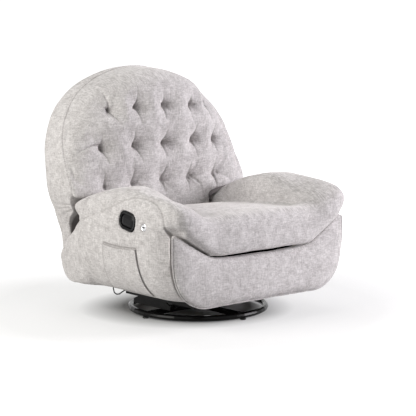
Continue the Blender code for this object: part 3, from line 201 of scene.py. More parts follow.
class Paint(Nodes):
    """One material under construction, around a Principled shader."""

    def __init__(self, name: str) -> None:
        """Start a material.

        Args:
            name: Its name.
        """
        self.material = bpy.data.materials.new(name)
        self.material.use_nodes = True
        super().__init__(self.material.node_tree)
        self.shader = self.tree.nodes["Principled BSDF"]
        self.coords = self.node("ShaderNodeTexCoord")

    def put(self, **values: object) -> None:
        """Set or link sockets of the shader, named with _ for each space."""
        for key, value in values.items():
            self.plug(self.shader.inputs[key.replace("_", " ")], value)

    def stretched(self, scale: Point) -> bpy.types.NodeSocket:
        """Object coordinates times a vector."""
        inputs = {0: self.coords.outputs["Object"], 1: scale}
        return self.node("ShaderNodeVectorMath", {"operation": "MULTIPLY"}, inputs).outputs[0]

    def noise(self, scale: Point, detail: float = 2.0, rough: float = 0.5, bend: float = 0.0) -> Wire:
        """Noise over the piece.

        Args:
            scale: Waves in a metre along X, Y and Z.
            detail: Octaves.
            rough: Share of each next octave.
            bend: Distortion.

        Returns:
            A wire from 0 to 1, mostly near 0.5.
        """
        inputs = {"Vector": self.stretched(scale), "Scale": 1.0, "Detail": detail}
        inputs |= {"Roughness": rough, "Distortion": bend}
        return Wire(self, self.node("ShaderNodeTexNoise", None, inputs).outputs[0])

    def facing(self) -> tuple[Wire, Wire, Wire]:
        """How far the surface faces along X, Y and Z, without sign."""
        made = self.node("ShaderNodeSeparateXYZ", None, {0: self.coords.outputs["Normal"]})
        return tuple(Wire(self, socket).size() for socket in made.outputs)

    def mix(self, share: object, first: object, second: object) -> bpy.types.NodeSocket:
        """Blend two colours.

        Args:
            share: How much of the second one, as a wire or a number.
            first: First colour, or a socket that gives it.
            second: Second colour, or a socket that gives it.

        Returns:
            Socket of the blended colour.
        """
        colours = [(*c, 1.0) if isinstance(c, tuple) else c for c in (first, second)]
        inputs = {0: share, 6: colours[0], 7: colours[1]}
        return self.node("ShaderNodeMix", {"data_type": "RGBA"}, inputs).outputs[2]

    def mark(self, name: str) -> Wire:
        """Painted shade that the mesh carries at each point under a name, 0 where it has none."""
        made = self.node("ShaderNodeAttribute", {"attribute_name": name})
        return Wire(self, made.outputs["Fac"])

    def bump(self, height: Wire, strength: float, distance: float) -> None:
        """Feed a height to the shader's normal."""
        inputs = {"Strength": strength, "Distance": distance, "Height": height}
        self.put(Normal=self.node("ShaderNodeBump", None, inputs).outputs[0])


# Finishes


@dataclass(frozen=True)
class Chenille:
    """Pale heathered chenille: crossing slubby threads, soft blotches and a short pile."""

    name: str = "grey_chenille"
    pale: Colour = (0.690, 0.668, 0.664)
    deep: Colour = (0.355, 0.336, 0.333)
    fleck: Colour = (0.33, 0.30, 0.285)
    across: float = 620.0
    along: float = 95.0

    def make(self) -> bpy.types.Material:
        """Build the cloth's material.

        Returns:
            The material.
        """
        paint = Paint(self.name)
        fine, slow = self.across, self.along
        _, _, up = paint.facing()
        flat = ((up - 0.55) * 4.0).clamped()
        warp = paint.noise((fine, fine, slow), 2.0, 0.6)
        weft = paint.noise((slow, slow, fine), 2.0, 0.6)
        lying_warp = paint.noise((fine, slow, slow), 2.0, 0.6)
        lying_weft = paint.noise((slow, fine, slow), 2.0, 0.6)
        first = warp * (1.0 - flat) + lying_warp * flat
        second = weft * (1.0 - flat) + lying_weft * flat
        slub = paint.noise((170.0, 170.0, 170.0), 3.0, 0.65)
        up_streak = paint.noise((250.0, 250.0, 36.0), 2.0, 0.6)
        side_streak = paint.noise((42.0, 42.0, 280.0), 2.0, 0.6)
        lying_streak = paint.noise((270.0, 40.0, 60.0), 2.0, 0.6)
        streak = (up_streak * 0.5 + side_streak * 0.5) * (1.0 - flat) + lying_streak * flat
        blotch = paint.noise((34.0, 34.0, 34.0), 4.0, 0.6)
        cloud = paint.noise((7.0, 7.0, 7.0), 2.0, 0.5)
        threads = (first + second) * 0.5
        tone = (threads - 0.5) * 1.2 + (slub - 0.5) * 1.1 + (streak - 0.5) * 2.5 + (blotch - 0.5) * 1.0
        tone = tone + (cloud - 0.5) * 0.3 + 0.5
        colour = paint.mix(tone.clamped(), self.deep, self.pale)
        flecks = ((slub * 0.6 + second * 0.4 - 0.60) * 9.0).clamped() * 0.16
        colour = paint.mix(flecks, colour, self.fleck)
        # Painted shade: the seam attribute darkens the cloth in pressed grooves, creases, tuft pits and gaps.
        seam = (paint.mark("seam") * 0.75).clamped()
        colour = paint.mix(seam, colour, (0.16, 0.145, 0.14))
        paint.put(Base_Color=colour, Roughness=(0.86 + (threads - 0.5) * 0.18).clamped())
        paint.put(Sheen_Weight=0.40, Sheen_Roughness=0.55, Sheen_Tint=(1.0, 0.97, 0.95, 1.0))
        paint.put(Specular_IOR_Level=0.2)
        paint.bump(threads * 0.7 + slub * 0.5, 0.55, 0.0012)
        return paint.material


@dataclass(frozen=True)
class Thread:
    """Twisted sewing thread."""

    name: str = "seam_thread"
    colour: Colour = (0.47, 0.44, 0.425)

    def make(self) -> bpy.types.Material:
        """Build the thread's material.

        Returns:
            The material.
        """
        paint = Paint(self.name)
        twist = paint.noise((2600.0, 2600.0, 2600.0), 1.0)
        shade = tuple(0.7 * c for c in self.colour)
        paint.put(Base_Color=paint.mix(twist, shade, self.colour), Roughness=0.6 + twist * 0.2)
        paint.bump(twist, 0.4, 0.0003)
        return paint.material


@dataclass(frozen=True)
class GlossSteel:
    """Gloss black powder coat: faint orange peel, dust on top and a little wear."""

    name: str = "black_steel"
    coat: Colour = (0.0055, 0.0052, 0.0052)
    dust: Colour = (0.08, 0.076, 0.072)

    def make(self) -> bpy.types.Material:
        """Build the coated steel's material.

        Returns:
            The material.
        """
        paint = Paint(self.name)
        peel = paint.noise((420.0, 420.0, 420.0), 2.0)
        cloud = paint.noise((16.0, 16.0, 16.0), 4.0, 0.6)
        _, _, up = paint.facing()
        film = ((cloud - 0.45) * 2.0).clamped() * up * 0.03
        paint.put(Base_Color=paint.mix(film, self.coat, self.dust))
        paint.put(Roughness=(0.06 + film * 1.2 + (cloud - 0.5) * 0.06).clamped())
        paint.put(Specular_IOR_Level=0.10)
        paint.bump(peel, 0.12, 0.0004)
        return paint.material


@dataclass(frozen=True)
class BareSteel:
    """Oiled spring steel with drawn lines."""

    name: str = "spring_steel"
    bright: Colour = (0.42, 0.42, 0.43)
    dull: Colour = (0.20, 0.195, 0.19)

    def make(self) -> bpy.types.Material:
        """Build the bare steel's material.

        Returns:
            The material.
        """
        paint = Paint(self.name)
        drawn = paint.noise((900.0, 900.0, 120.0), 2.0)
        stain = paint.noise((45.0, 45.0, 45.0), 4.0, 0.6)
        paint.put(Base_Color=paint.mix(((stain - 0.35) * 2.2).clamped(), self.dull, self.bright))
        paint.put(Metallic=1.0, Roughness=(0.30 + (stain - 0.5) * 0.4 + (drawn - 0.5) * 0.2).clamped())
        paint.bump(drawn, 0.15, 0.0003)
        return paint.material


@dataclass(frozen=True)
class Rubber:
    """Matte black rubber and cable sheath."""

    name: str = "rubber"
    dark: Colour = (0.012, 0.012, 0.012)
    worn: Colour = (0.045, 0.043, 0.041)

    def make(self) -> bpy.types.Material:
        """Build the rubber's material.

        Returns:
            The material.
        """
        paint = Paint(self.name)
        grain = paint.noise((1500.0, 1500.0, 1500.0), 2.0)
        scuff = paint.noise((120.0, 120.0, 120.0), 3.0, 0.6)
        share = ((scuff - 0.5) * 3.0).clamped()
        paint.put(Base_Color=paint.mix(share * 0.6, self.dark, self.worn), Roughness=0.6 + grain * 0.25)
        paint.bump(grain, 0.25, 0.0003)
        return paint.material


@dataclass(frozen=True)
class Plywood:
    """Raw plywood: stretched grain on the faces and thin plies on the edges."""

    name: str = "plywood"
    early: Colour = (0.60, 0.45, 0.28)
    late: Colour = (0.42, 0.28, 0.16)

    def make(self) -> bpy.types.Material:
        """Build the plywood's material.

        Returns:
            The material.
        """
        paint = Paint(self.name)
        grain = paint.noise((90.0, 90.0, 6.0), 5.0, 0.6, 0.8)
        pore = paint.noise((900.0, 900.0, 60.0), 2.0)
        share = ((grain - 0.35) * 2.2).clamped() * 0.8 + (pore - 0.5) * 0.4
        paint.put(Base_Color=paint.mix(share.clamped(), self.early, self.late))
        paint.put(Roughness=0.62 + pore * 0.25)
        paint.bump(grain * 0.5 + pore, 0.25, 0.0005)
        return paint.material


@dataclass(frozen=True)
class Lining:
    """Black bonded lining cloth with its dimpled grid."""

    name: str = "black_lining"
    dark: Colour = (0.012, 0.012, 0.012)
    fuzz: Colour = (0.035, 0.034, 0.033)

    def make(self) -> bpy.types.Material:
        """Build the lining's material.

        Returns:
            The material.
        """
        paint = Paint(self.name)
        grid = {"Vector": paint.stretched((380.0, 380.0, 380.0)), "Scale": 1.0, "Randomness": 0.25}
        dots = paint.node("ShaderNodeTexVoronoi", {"feature": "DISTANCE_TO_EDGE"}, grid)
        cell = Wire(paint, dots.outputs[0])
        fuzz = paint.noise((700.0, 700.0, 700.0), 2.0)
        paint.put(Base_Color=paint.mix(fuzz, self.dark, self.fuzz), Roughness=0.8 + fuzz * 0.15)
        paint.bump(cell + fuzz * 0.3, 0.4, 0.0005)
        return paint.material


@dataclass(frozen=True)
class Plastic:
    """Moulded black plastic: fine spark grain under a soft gloss, with rubbed spots."""

    name: str = "black_plastic"
    dark: Colour = (0.005, 0.005, 0.0055)
    rubbed: Colour = (0.012, 0.012, 0.0125)

    def make(self) -> bpy.types.Material:
        """Build the plastic's material.

        Returns:
            The material.
        """
        paint = Paint(self.name)
        grain = paint.noise((1900.0, 1900.0, 1900.0), 2.0)
        rub = paint.noise((60.0, 60.0, 60.0), 3.0, 0.55)
        share = ((rub - 0.5) * 3.0).clamped()
        paint.put(Base_Color=paint.mix(share * 0.5, self.dark, self.rubbed))
        paint.put(Roughness=(0.26 + (grain - 0.5) * 0.12 - share * 0.06).clamped(), Specular_IOR_Level=0.12)
        paint.bump(grain, 0.10, 0.0002)
        return paint.material


@dataclass(frozen=True)
class Chrome:
    """Bright plating with faint handling marks."""

    name: str = "chrome"
    plate: Colour = (0.66, 0.66, 0.67)
    film: Colour = (0.50, 0.49, 0.48)

    def make(self) -> bpy.types.Material:
        """Build the plating's material.

        Returns:
            The material.
        """
        paint = Paint(self.name)
        smear = paint.noise((190.0, 190.0, 190.0), 4.0, 0.6)
        share = ((smear - 0.45) * 2.5).clamped()
        paint.put(Base_Color=paint.mix(share, self.plate, self.film), Metallic=1.0)
        paint.put(Roughness=0.07 + share * 0.12)
        paint.bump(smear, 0.03, 0.0003)
        return paint.material


# Forms


def ease(t: np.ndarray | float) -> np.ndarray:
    """Ease from 0 to 1."""
    t = np.clip(t, 0.0, 1.0)
    return t * t * (3 - 2 * t)


def bow(share: np.ndarray | float, power: float) -> np.ndarray:
    """1 in the middle of a crowned section and 0 on its edge."""
    return np.maximum(1 - np.minimum(np.abs(share), 1.0) ** power, 0.0) ** (1 / power)


def rise(x: np.ndarray | float, start: float, slope: float) -> np.ndarray:
    """Height gained past a start across the chair, with a soft bend."""
    past = np.abs(x) - start
    return slope * 0.5 * (past + np.sqrt(past * past + LIP_BEND**2))


def superellipse(count: int, top: float, foot: float) -> tuple[np.ndarray, np.ndarray]:
    """Unit ring whose upper and lower halves have their own squareness.

    Args:
        count: Points on the ring.
        top: Power of the upper half.
        foot: Power of the lower half.

    Returns:
        The points' u and v.
    """
    turn = 2 * np.pi * (np.arange(count) + 0.5) / count
    power = np.where(np.sin(turn) > 0, top, foot)
    u = np.sign(np.cos(turn)) * np.abs(np.cos(turn)) ** (2 / power)
    v = np.sign(np.sin(turn)) * np.abs(np.sin(turn)) ** (2 / power)
    return u, v


def loft(rings: Sequence[np.ndarray]) -> tuple[np.ndarray, list[tuple[int, ...]]]:
    """Skin equal rings of points and cap both ends.

    Args:
        rings: Arrays of points, all of one length.

    Returns:
        Points and faces.
    """
    count = len(rings[0])
    faces = []
    for near in range(len(rings) - 1):
        a, b = near * count, (near + 1) * count
        for i in range(count):
            j = (i + 1) % count
            faces.append((a + i, a + j, b + j, b + i))
    faces.append(tuple(range(count))[::-1])
    last = (len(rings) - 1) * count
    faces.append(tuple(range(last, last + count)))
    return np.concatenate(rings), faces


def curve_through(points: Sequence[Point], step: float) -> np.ndarray:
    """Even points along a smooth curve.

    Args:
        points: Points that the curve goes through.
        step: Distance between the points that come back.

    Returns:
        Points from end to end.
    """
    knots = np.array(points, float)
    padded = np.concatenate([[2 * knots[0] - knots[1]], knots, [2 * knots[-1] - knots[-2]]])
    t = np.linspace(0, 1, 24, endpoint=False)[:, None]
    runs = []
    for a, b, c, d in zip(padded, padded[1:], padded[2:], padded[3:]):
        square, cube = 2 * a - 5 * b + 4 * c - d, 3 * b - a - 3 * c + d
        runs.append(0.5 * (2 * b + (c - a) * t + square * t**2 + cube * t**3))
    dense = np.concatenate([*runs, knots[-1:]])
    lengths = np.concatenate([[0.0], np.cumsum(np.linalg.norm(np.diff(dense, axis=0), axis=1))])
    marks = np.linspace(0, lengths[-1], max(2, round(lengths[-1] / step) + 1))
    return np.stack([np.interp(marks, lengths, dense[:, k]) for k in range(3)], 1)


def line_reach(points: np.ndarray, line: np.ndarray) -> tuple[np.ndarray, np.ndarray]:
    """Find how far points lie from a line.

    Args:
        points: Points to measure.
        line: Points along the line.

    Returns:
        Each point's distance, very large far off, and how far along the line its nearest spot lies, 0 to 1.
    """
    near = np.full(len(points), 1e9)
    along = np.zeros(len(points))
    low, high = line.min(0) - 0.08, line.max(0) + 0.08
    inside = np.flatnonzero(((points > low) & (points < high)).all(1))
    if not len(inside):
        return near, along
    spots = points[inside]
    best, place = np.full(len(spots), 1e9), np.zeros(len(spots))
    for i, (a, b) in enumerate(zip(line, line[1:])):
        run = b - a
        t = np.clip(((spots - a) @ run) / max(run @ run, 1e-12), 0, 1)
        gap = np.linalg.norm(spots - a - t[:, None] * run, axis=1)
        closer = gap < best
        best[closer] = gap[closer]
        place[closer] = (i + t[closer]) / (len(line) - 1)
    near[inside], along[inside] = best, place
    return near, along


class Form:
    """A soft piece's mesh while it is shaped, in the layout's own place."""

    def __init__(self, name: str, skins: Sequence[tuple[np.ndarray, list]]) -> None:
        """Start from one or more closed skins.

        Args:
            name: Name of the piece.
            skins: Points and faces of each skin.
        """
        mesh = bpy.data.meshes.new(name)
        points, faces, start = [], [], 0
        for skin, skin_faces in skins:
            points.append(skin)
            faces += [tuple(start + i for i in face) for face in skin_faces]
            start += len(skin)
        mesh.from_pydata(np.concatenate(points).tolist(), [], faces)
        self.obj = bpy.data.objects.new(name, mesh)
        bpy.context.scene.collection.objects.link(self.obj)
        self._outward()

    def _outward(self) -> None:
        """Merge doubles and point every closed skin outwards."""
        bm = bmesh.new()
        bm.from_mesh(self.obj.data)
        bmesh.ops.remove_doubles(bm, verts=bm.verts[:], dist=1e-6)
        bmesh.ops.recalc_face_normals(bm, faces=bm.faces[:])
        if bm.calc_volume(signed=True) < 0:
            bmesh.ops.reverse_faces(bm, faces=bm.faces[:])
        bm.to_mesh(self.obj.data)
        bm.free()

    @property
    def points(self) -> np.ndarray:
        """The mesh's points.

        Returns:
            One row for each point.
        """
        flat = np.empty(len(self.obj.data.vertices) * 3, np.float64)
        self.obj.data.vertices.foreach_get("co", flat)
        return flat.reshape(-1, 3)

    @points.setter
    def points(self, value: np.ndarray) -> None:
        """Move the mesh's points."""
        self.obj.data.vertices.foreach_set("co", np.ascontiguousarray(value, np.float64).ravel())
        self.obj.data.update()

    @property
    def normals(self) -> np.ndarray:
        """Outward normals at the points.

        Returns:
            One row for each point.
        """
        flat = np.empty(len(self.obj.data.vertices) * 3, np.float32)
        self.obj.data.vertex_normals.foreach_get("vector", flat)
        return flat.reshape(-1, 3).astype(float)

    def _applied(self) -> None:
        """Apply the object's modifiers to its mesh."""
        seen = bpy.context.evaluated_depsgraph_get()
        mesh = bpy.data.meshes.new_from_object(self.obj.evaluated_get(seen), depsgraph=seen)
        self.obj.modifiers.clear()
        old = self.obj.data
        self.obj.data = mesh
        bpy.data.meshes.remove(old)

    def remesh(self, size: float) -> None:
        """Fuse the skins into one even mesh.

        Args:
            size: Side of a voxel.
        """
        step = self.obj.modifiers.new("even", "REMESH")
        step.mode = "VOXEL"
        step.voxel_size = size
        self._applied()

    def relax(self, rounds: int, share: np.ndarray | None = None) -> None:
        """Smooth the mesh.

        Args:
            rounds: Passes of smoothing.
            share: How far each point takes part, or all of them fully.
        """
        pairs = np.empty(len(self.obj.data.edges) * 2, np.int32)
        self.obj.data.edges.foreach_get("vertices", pairs)
        a, b = pairs.reshape(-1, 2).T
        points = self.points
        count = np.bincount(a, minlength=len(points)) + np.bincount(b, minlength=len(points))
        weight = 0.5 if share is None else 0.5 * share[:, None]
        for _ in range(rounds):
            mean = np.stack([
                np.bincount(a, points[b, k], len(points)) + np.bincount(b, points[a, k], len(points))
                for k in range(3)
            ], 1) / count[:, None]
            points = points + (mean - points) * weight
        self.points = points

    def refine(self, chosen: np.ndarray) -> None:
        """Split the edges between the chosen points in half.

        Args:
            chosen: True for each point that is chosen.
        """
        bm = bmesh.new()
        bm.from_mesh(self.obj.data)
        bm.verts.ensure_lookup_table()
        edges = [e for e in bm.edges if chosen[e.verts[0].index] and chosen[e.verts[1].index]]
        bmesh.ops.subdivide_edges(bm, edges=edges, cuts=1, use_grid_fill=True)
        bm.to_mesh(self.obj.data)
        bm.free()

    def refine_along(self, lines: Sequence[np.ndarray], reach: float) -> None:
        """Make the mesh finer along some lines.

        Args:
            lines: The lines.
            reach: How far to each side.
        """
        points = self.points
        chosen = np.zeros(len(points), bool)
        for line in lines:
            chosen |= line_reach(points, line)[0] < reach
        self.refine(chosen)

    def press(
        self, line: np.ndarray, width: float, depth: float, fade: bool = False, shade: float = 1.0
    ) -> None:
        """Press a seam or crease into the surface and paint shade into its groove on the cloth.

        Args:
            line: Points along the seam.
            width: Half width of the groove.
            depth: How deep it goes.
            fade: Let the far end run out.
            shade: How dark the painted shade in the groove is.
        """
        near, along = line_reach(self.points, line)
        dip = np.exp(-((near / width) ** 2))
        if fade:
            dip *= np.clip(1.0 - along, 0.0, 1.0) ** 0.5
        self.points = self.points - self.normals * (depth * dip)[:, None]
        self.mark(dip**2 * shade)

    def mark(self, value: np.ndarray) -> None:
        """Add painted shade, which the cloth shows darker; it is kept in the mesh's seam attribute.

        Args:
            value: Painted shade at each point, 0 for none.
        """
        carried = self.obj.data.attributes
        made = carried.get("seam") or carried.new("seam", "FLOAT", "POINT")
        old = np.zeros(len(value), np.float32)
        made.data.foreach_get("value", old)
        made.data.foreach_set("value", np.maximum(old, value).astype(np.float32))

    def ripple(self, height: float, waves: float, seed: float) -> None:
        """Give the surface slow, uneven swells.

        Args:
            height: Greatest swell.
            waves: Swells in a metre.
            seed: Place in the noise.
        """
        points = self.points
        shift = Vector((seed, seed * 0.7, seed * 1.3))
        swell = np.array([noise.noise(Vector(p) * waves + shift) for p in points])
        self.points = points + self.normals * (height * swell)[:, None]

    def inflate(self, pins: np.ndarray, pressure: float, spare: float, cap: float, frames: int = 20) -> None:
        """Blow the cover up as cloth over its stuffing.

        Args:
            pins: How firmly each point is held, from 0 to 1.
            pressure: Pressure inside.
            spare: Share by which the cloth is cut larger than the shape.
            cap: Greatest distance that a point may move.
            frames: Frames of simulation.
        """
        before = self.points
        group = self.obj.vertex_groups.new(name="held")
        for level in np.unique(np.round(pins, 1)):
            if level > 0:
                chosen = np.flatnonzero(np.round(pins, 1) == level)
                group.add(chosen.tolist(), float(level), "REPLACE")
        cloth = self.obj.modifiers.new("cloth", "CLOTH")
        setting = cloth.settings
        setting.quality = 5
        setting.mass = 0.3
        setting.tension_stiffness = setting.compression_stiffness = 18.0
        setting.shear_stiffness = 6.0
        setting.bending_stiffness = 0.8
        setting.use_pressure = True
        setting.uniform_pressure_force = pressure
        setting.shrink_min = -spare
        setting.vertex_group_mass = "held"
        setting.effector_weights.gravity = 0.0
        setting.air_damping = 4.0
        cloth.collision_settings.use_collision = False
        cloth.point_cache.frame_end = frames
        scene = bpy.context.scene
        for number in range(1, frames + 1):
            scene.frame_set(number)
        self._applied()
        scene.frame_set(1)
        move = self.points - before
        far = np.linalg.norm(move, axis=1, keepdims=True)
        self.points = before + move * np.minimum(1.0, cap / np.maximum(far, 1e-9))
        self.obj.vertex_groups.clear()

    def snapped(self, line: np.ndarray, lift: float) -> np.ndarray:
        """Lay a line on the surface.

        Args:
            line: Points near the surface.
            lift: How far off the surface they come to lie.

        Returns:
            The laid points.
        """
        seen = BVHTree.FromObject(self.obj, bpy.context.evaluated_depsgraph_get())
        laid = []
        for spot in line:
            place, normal, _, _ = seen.find_nearest(Vector(spot))
            laid.append(np.array(place + normal * lift))
        return np.array(laid)

    def cast(self, line: np.ndarray) -> np.ndarray:
        """Drop a line on the front of the surface, from the sitter's side.

        Args:
            line: Points whose X and Z are kept.

        Returns:
            The dropped points.
        """
        seen = BVHTree.FromObject(self.obj, bpy.context.evaluated_depsgraph_get())
        laid = []
        for spot in line:
            place, _, _, _ = seen.ray_cast(Vector((spot[0], -1.0, spot[2])), Vector((0.0, 1.0, 0.0)))
            laid.append(np.array(place) if place else spot)
        return np.array(laid)

    def finish(self, body: Body, look: bpy.types.Material, *nodes: str) -> bpy.types.Object:
        """Move the piece to the frame's origin and hand it over.

        Args:
            body: Body that it rides on.
            look: Its finish.
            nodes: Solids that it stands for.

        Returns:
            The finished object.
        """
        self.points = self.points + ORIGIN
        self.obj.data.materials.clear()
        self.obj.data.materials.append(look)
        self.obj.data.shade_smooth()
        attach(self.obj, body.value)
        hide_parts(*nodes)
        LOG.info("%s: %d faces on %s", self.obj.name, len(self.obj.data.polygons), body.value)
        return self.obj


# Trims that follow a path


class Trim(Enum):
    """What runs along a path."""

    STITCH = "stitch"
    WELT = "welt"
    WIRE = "wire"


@dataclass
class TrimKit:
    """What follows a path, as Geometry Nodes: stitches set along it, or a round welt or wire around it."""

    thread: bpy.types.Material
    cloth: bpy.types.Material
    wire: bpy.types.Material
    pitch: float = 0.0062
    stitch: float = 0.0042
    thick: float = 0.0011
    lift: float = 0.0004
    trees: dict = field(default_factory=dict)

    def _tree(self, kind: Trim) -> Nodes:
        """Start a tree with geometry in and out.

        Args:
            kind: What the tree lays along a path.

        Returns:
            The tree under construction.
        """
        tree = bpy.data.node_groups.new(kind.value, "GeometryNodeTree")
        tree.interface.new_socket("Geometry", in_out="INPUT", socket_type="NodeSocketGeometry")
        tree.interface.new_socket("Geometry", in_out="OUTPUT", socket_type="NodeSocketGeometry")
        for name in ("Pitch", "Length", "Radius"):
            tree.interface.new_socket(name, in_out="INPUT", socket_type="NodeSocketFloat")
        return Nodes(tree)

    def _close(self, nodes: Nodes, shape: bpy.types.NodeSocket, look: bpy.types.Material) -> None:
        """End a tree: plain mesh, smooth, with its finish.

        Args:
            nodes: The tree.
            shape: Socket of the geometry made.
            look: Its finish.
        """
        real = nodes.node("GeometryNodeRealizeInstances", None, {0: shape})
        even = nodes.node("GeometryNodeSetShadeSmooth", None, {0: real.outputs[0]})
        inputs = {"Geometry": even.outputs[0], "Material": look}
        painted = nodes.node("GeometryNodeSetMaterial", None, inputs)
        nodes.node("NodeGroupOutput", None, {0: painted.outputs[0]})

    def _stitches(self, nodes: Nodes, curve: bpy.types.Node, start: bpy.types.NodeOutputs) -> bpy.types.Node:
        """Set beads of thread along the curve.

        Args:
            nodes: The tree.
            curve: Node that gives the path.
            start: Sockets of the tree's inputs.

        Returns:
            The node that sets the stitches.
        """
        inputs = {0: curve.outputs[0], "Length": start["Pitch"]}
        even = nodes.node("GeometryNodeCurveToPoints", {"mode": "LENGTH"}, inputs)
        inputs = {"Vector": even.outputs["Tangent"]}
        turn = nodes.node("FunctionNodeAlignRotationToVector", {"axis": "X"}, inputs)
        bead = nodes.node("GeometryNodeMeshUVSphere", None, {"Segments": 6, "Rings": 4, "Radius": 0.5})
        inputs = {0: start["Length"], 1: start["Radius"], 2: start["Radius"]}
        size = nodes.node("ShaderNodeCombineXYZ", None, inputs)
        return nodes.node("GeometryNodeInstanceOnPoints", None, {
            "Points": even.outputs["Points"], "Instance": bead.outputs[0],
            "Rotation": turn.outputs[0], "Scale": size.outputs[0],
        })

    def _cord(self, nodes: Nodes, curve: bpy.types.Node, start: bpy.types.NodeOutputs) -> bpy.types.Node:
        """Run a round cord along the curve.

        Args:
            nodes: The tree.
            curve: Node that gives the path.
            start: Sockets of the tree's inputs.

        Returns:
            The node that skins the cord.
        """
        inputs = {"Curve": curve.outputs[0], "Length": SEAM_STEP}
        even = nodes.node("GeometryNodeResampleCurve", {"mode": "LENGTH"}, inputs)
        inputs = {"Resolution": 10, "Radius": start["Radius"]}
        ring = nodes.node("GeometryNodeCurvePrimitiveCircle", None, inputs)
        inputs = {"Curve": even.outputs[0], "Profile Curve": ring.outputs[0], "Fill Caps": True}
        return nodes.node("GeometryNodeCurveToMesh", None, inputs)

    def tree(self, kind: Trim) -> bpy.types.NodeTree:
        """Build the tree of one kind of trim, once.

        Args:
            kind: What runs along the path.

        Returns:
            The tree.
        """
        if kind in self.trees:
            return self.trees[kind]
        nodes = self._tree(kind)
        start = nodes.node("NodeGroupInput").outputs
        curve = nodes.node("GeometryNodeMeshToCurve", None, {0: start["Geometry"]})
        made = self._stitches(nodes, curve, start) if kind is Trim.STITCH else self._cord(nodes, curve, start)
        looks = {Trim.STITCH: self.thread, Trim.WELT: self.cloth, Trim.WIRE: self.wire}
        self._close(nodes, made.outputs[0], looks[kind])
        self.trees[kind] = nodes.tree
        return nodes.tree

    def run(
        self, name: str, kind: Trim, lines: Sequence[np.ndarray], body: Body, radius: float = 0.0
    ) -> bpy.types.Object:
        """Sew one trim along laid lines.

        Args:
            name: Name of the piece.
            kind: What runs along the lines.
            lines: Lines on the surface.
            body: Body that the trim rides on.

        Returns:
            The finished object.
        """
        mesh = bpy.data.meshes.new(name)
        points, edges = [], []
        for line in lines:
            start = len(points)
            points += (line + ORIGIN).tolist()
            edges += [(i, i + 1) for i in range(start, len(points) - 1)]
        mesh.from_pydata(points, edges, [])
        obj = bpy.data.objects.new(name, mesh)
        bpy.context.scene.collection.objects.link(obj)
        tree = self.tree(kind)
        sewn = obj.modifiers.new(kind.value, "NODES")
        sewn.node_group = tree
        values = {"Pitch": self.pitch, "Length": self.stitch, "Radius": radius or self.thick}
        for item in tree.interface.items_tree:
            if item.in_out == "INPUT" and item.name in values:
                sewn[item.identifier] = values[item.name]
        seen = bpy.context.evaluated_depsgraph_get()
        plain = bpy.data.meshes.new_from_object(obj.evaluated_get(seen), depsgraph=seen)
        obj.modifiers.clear()
        obj.data = plain
        bpy.data.meshes.remove(mesh)
        if kind is not Trim.WIRE:
            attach(obj, body.value)
        LOG.info("%s: %d faces on %s", name, len(plain.polygons), body.value)
        return obj


# Sub-assemblies


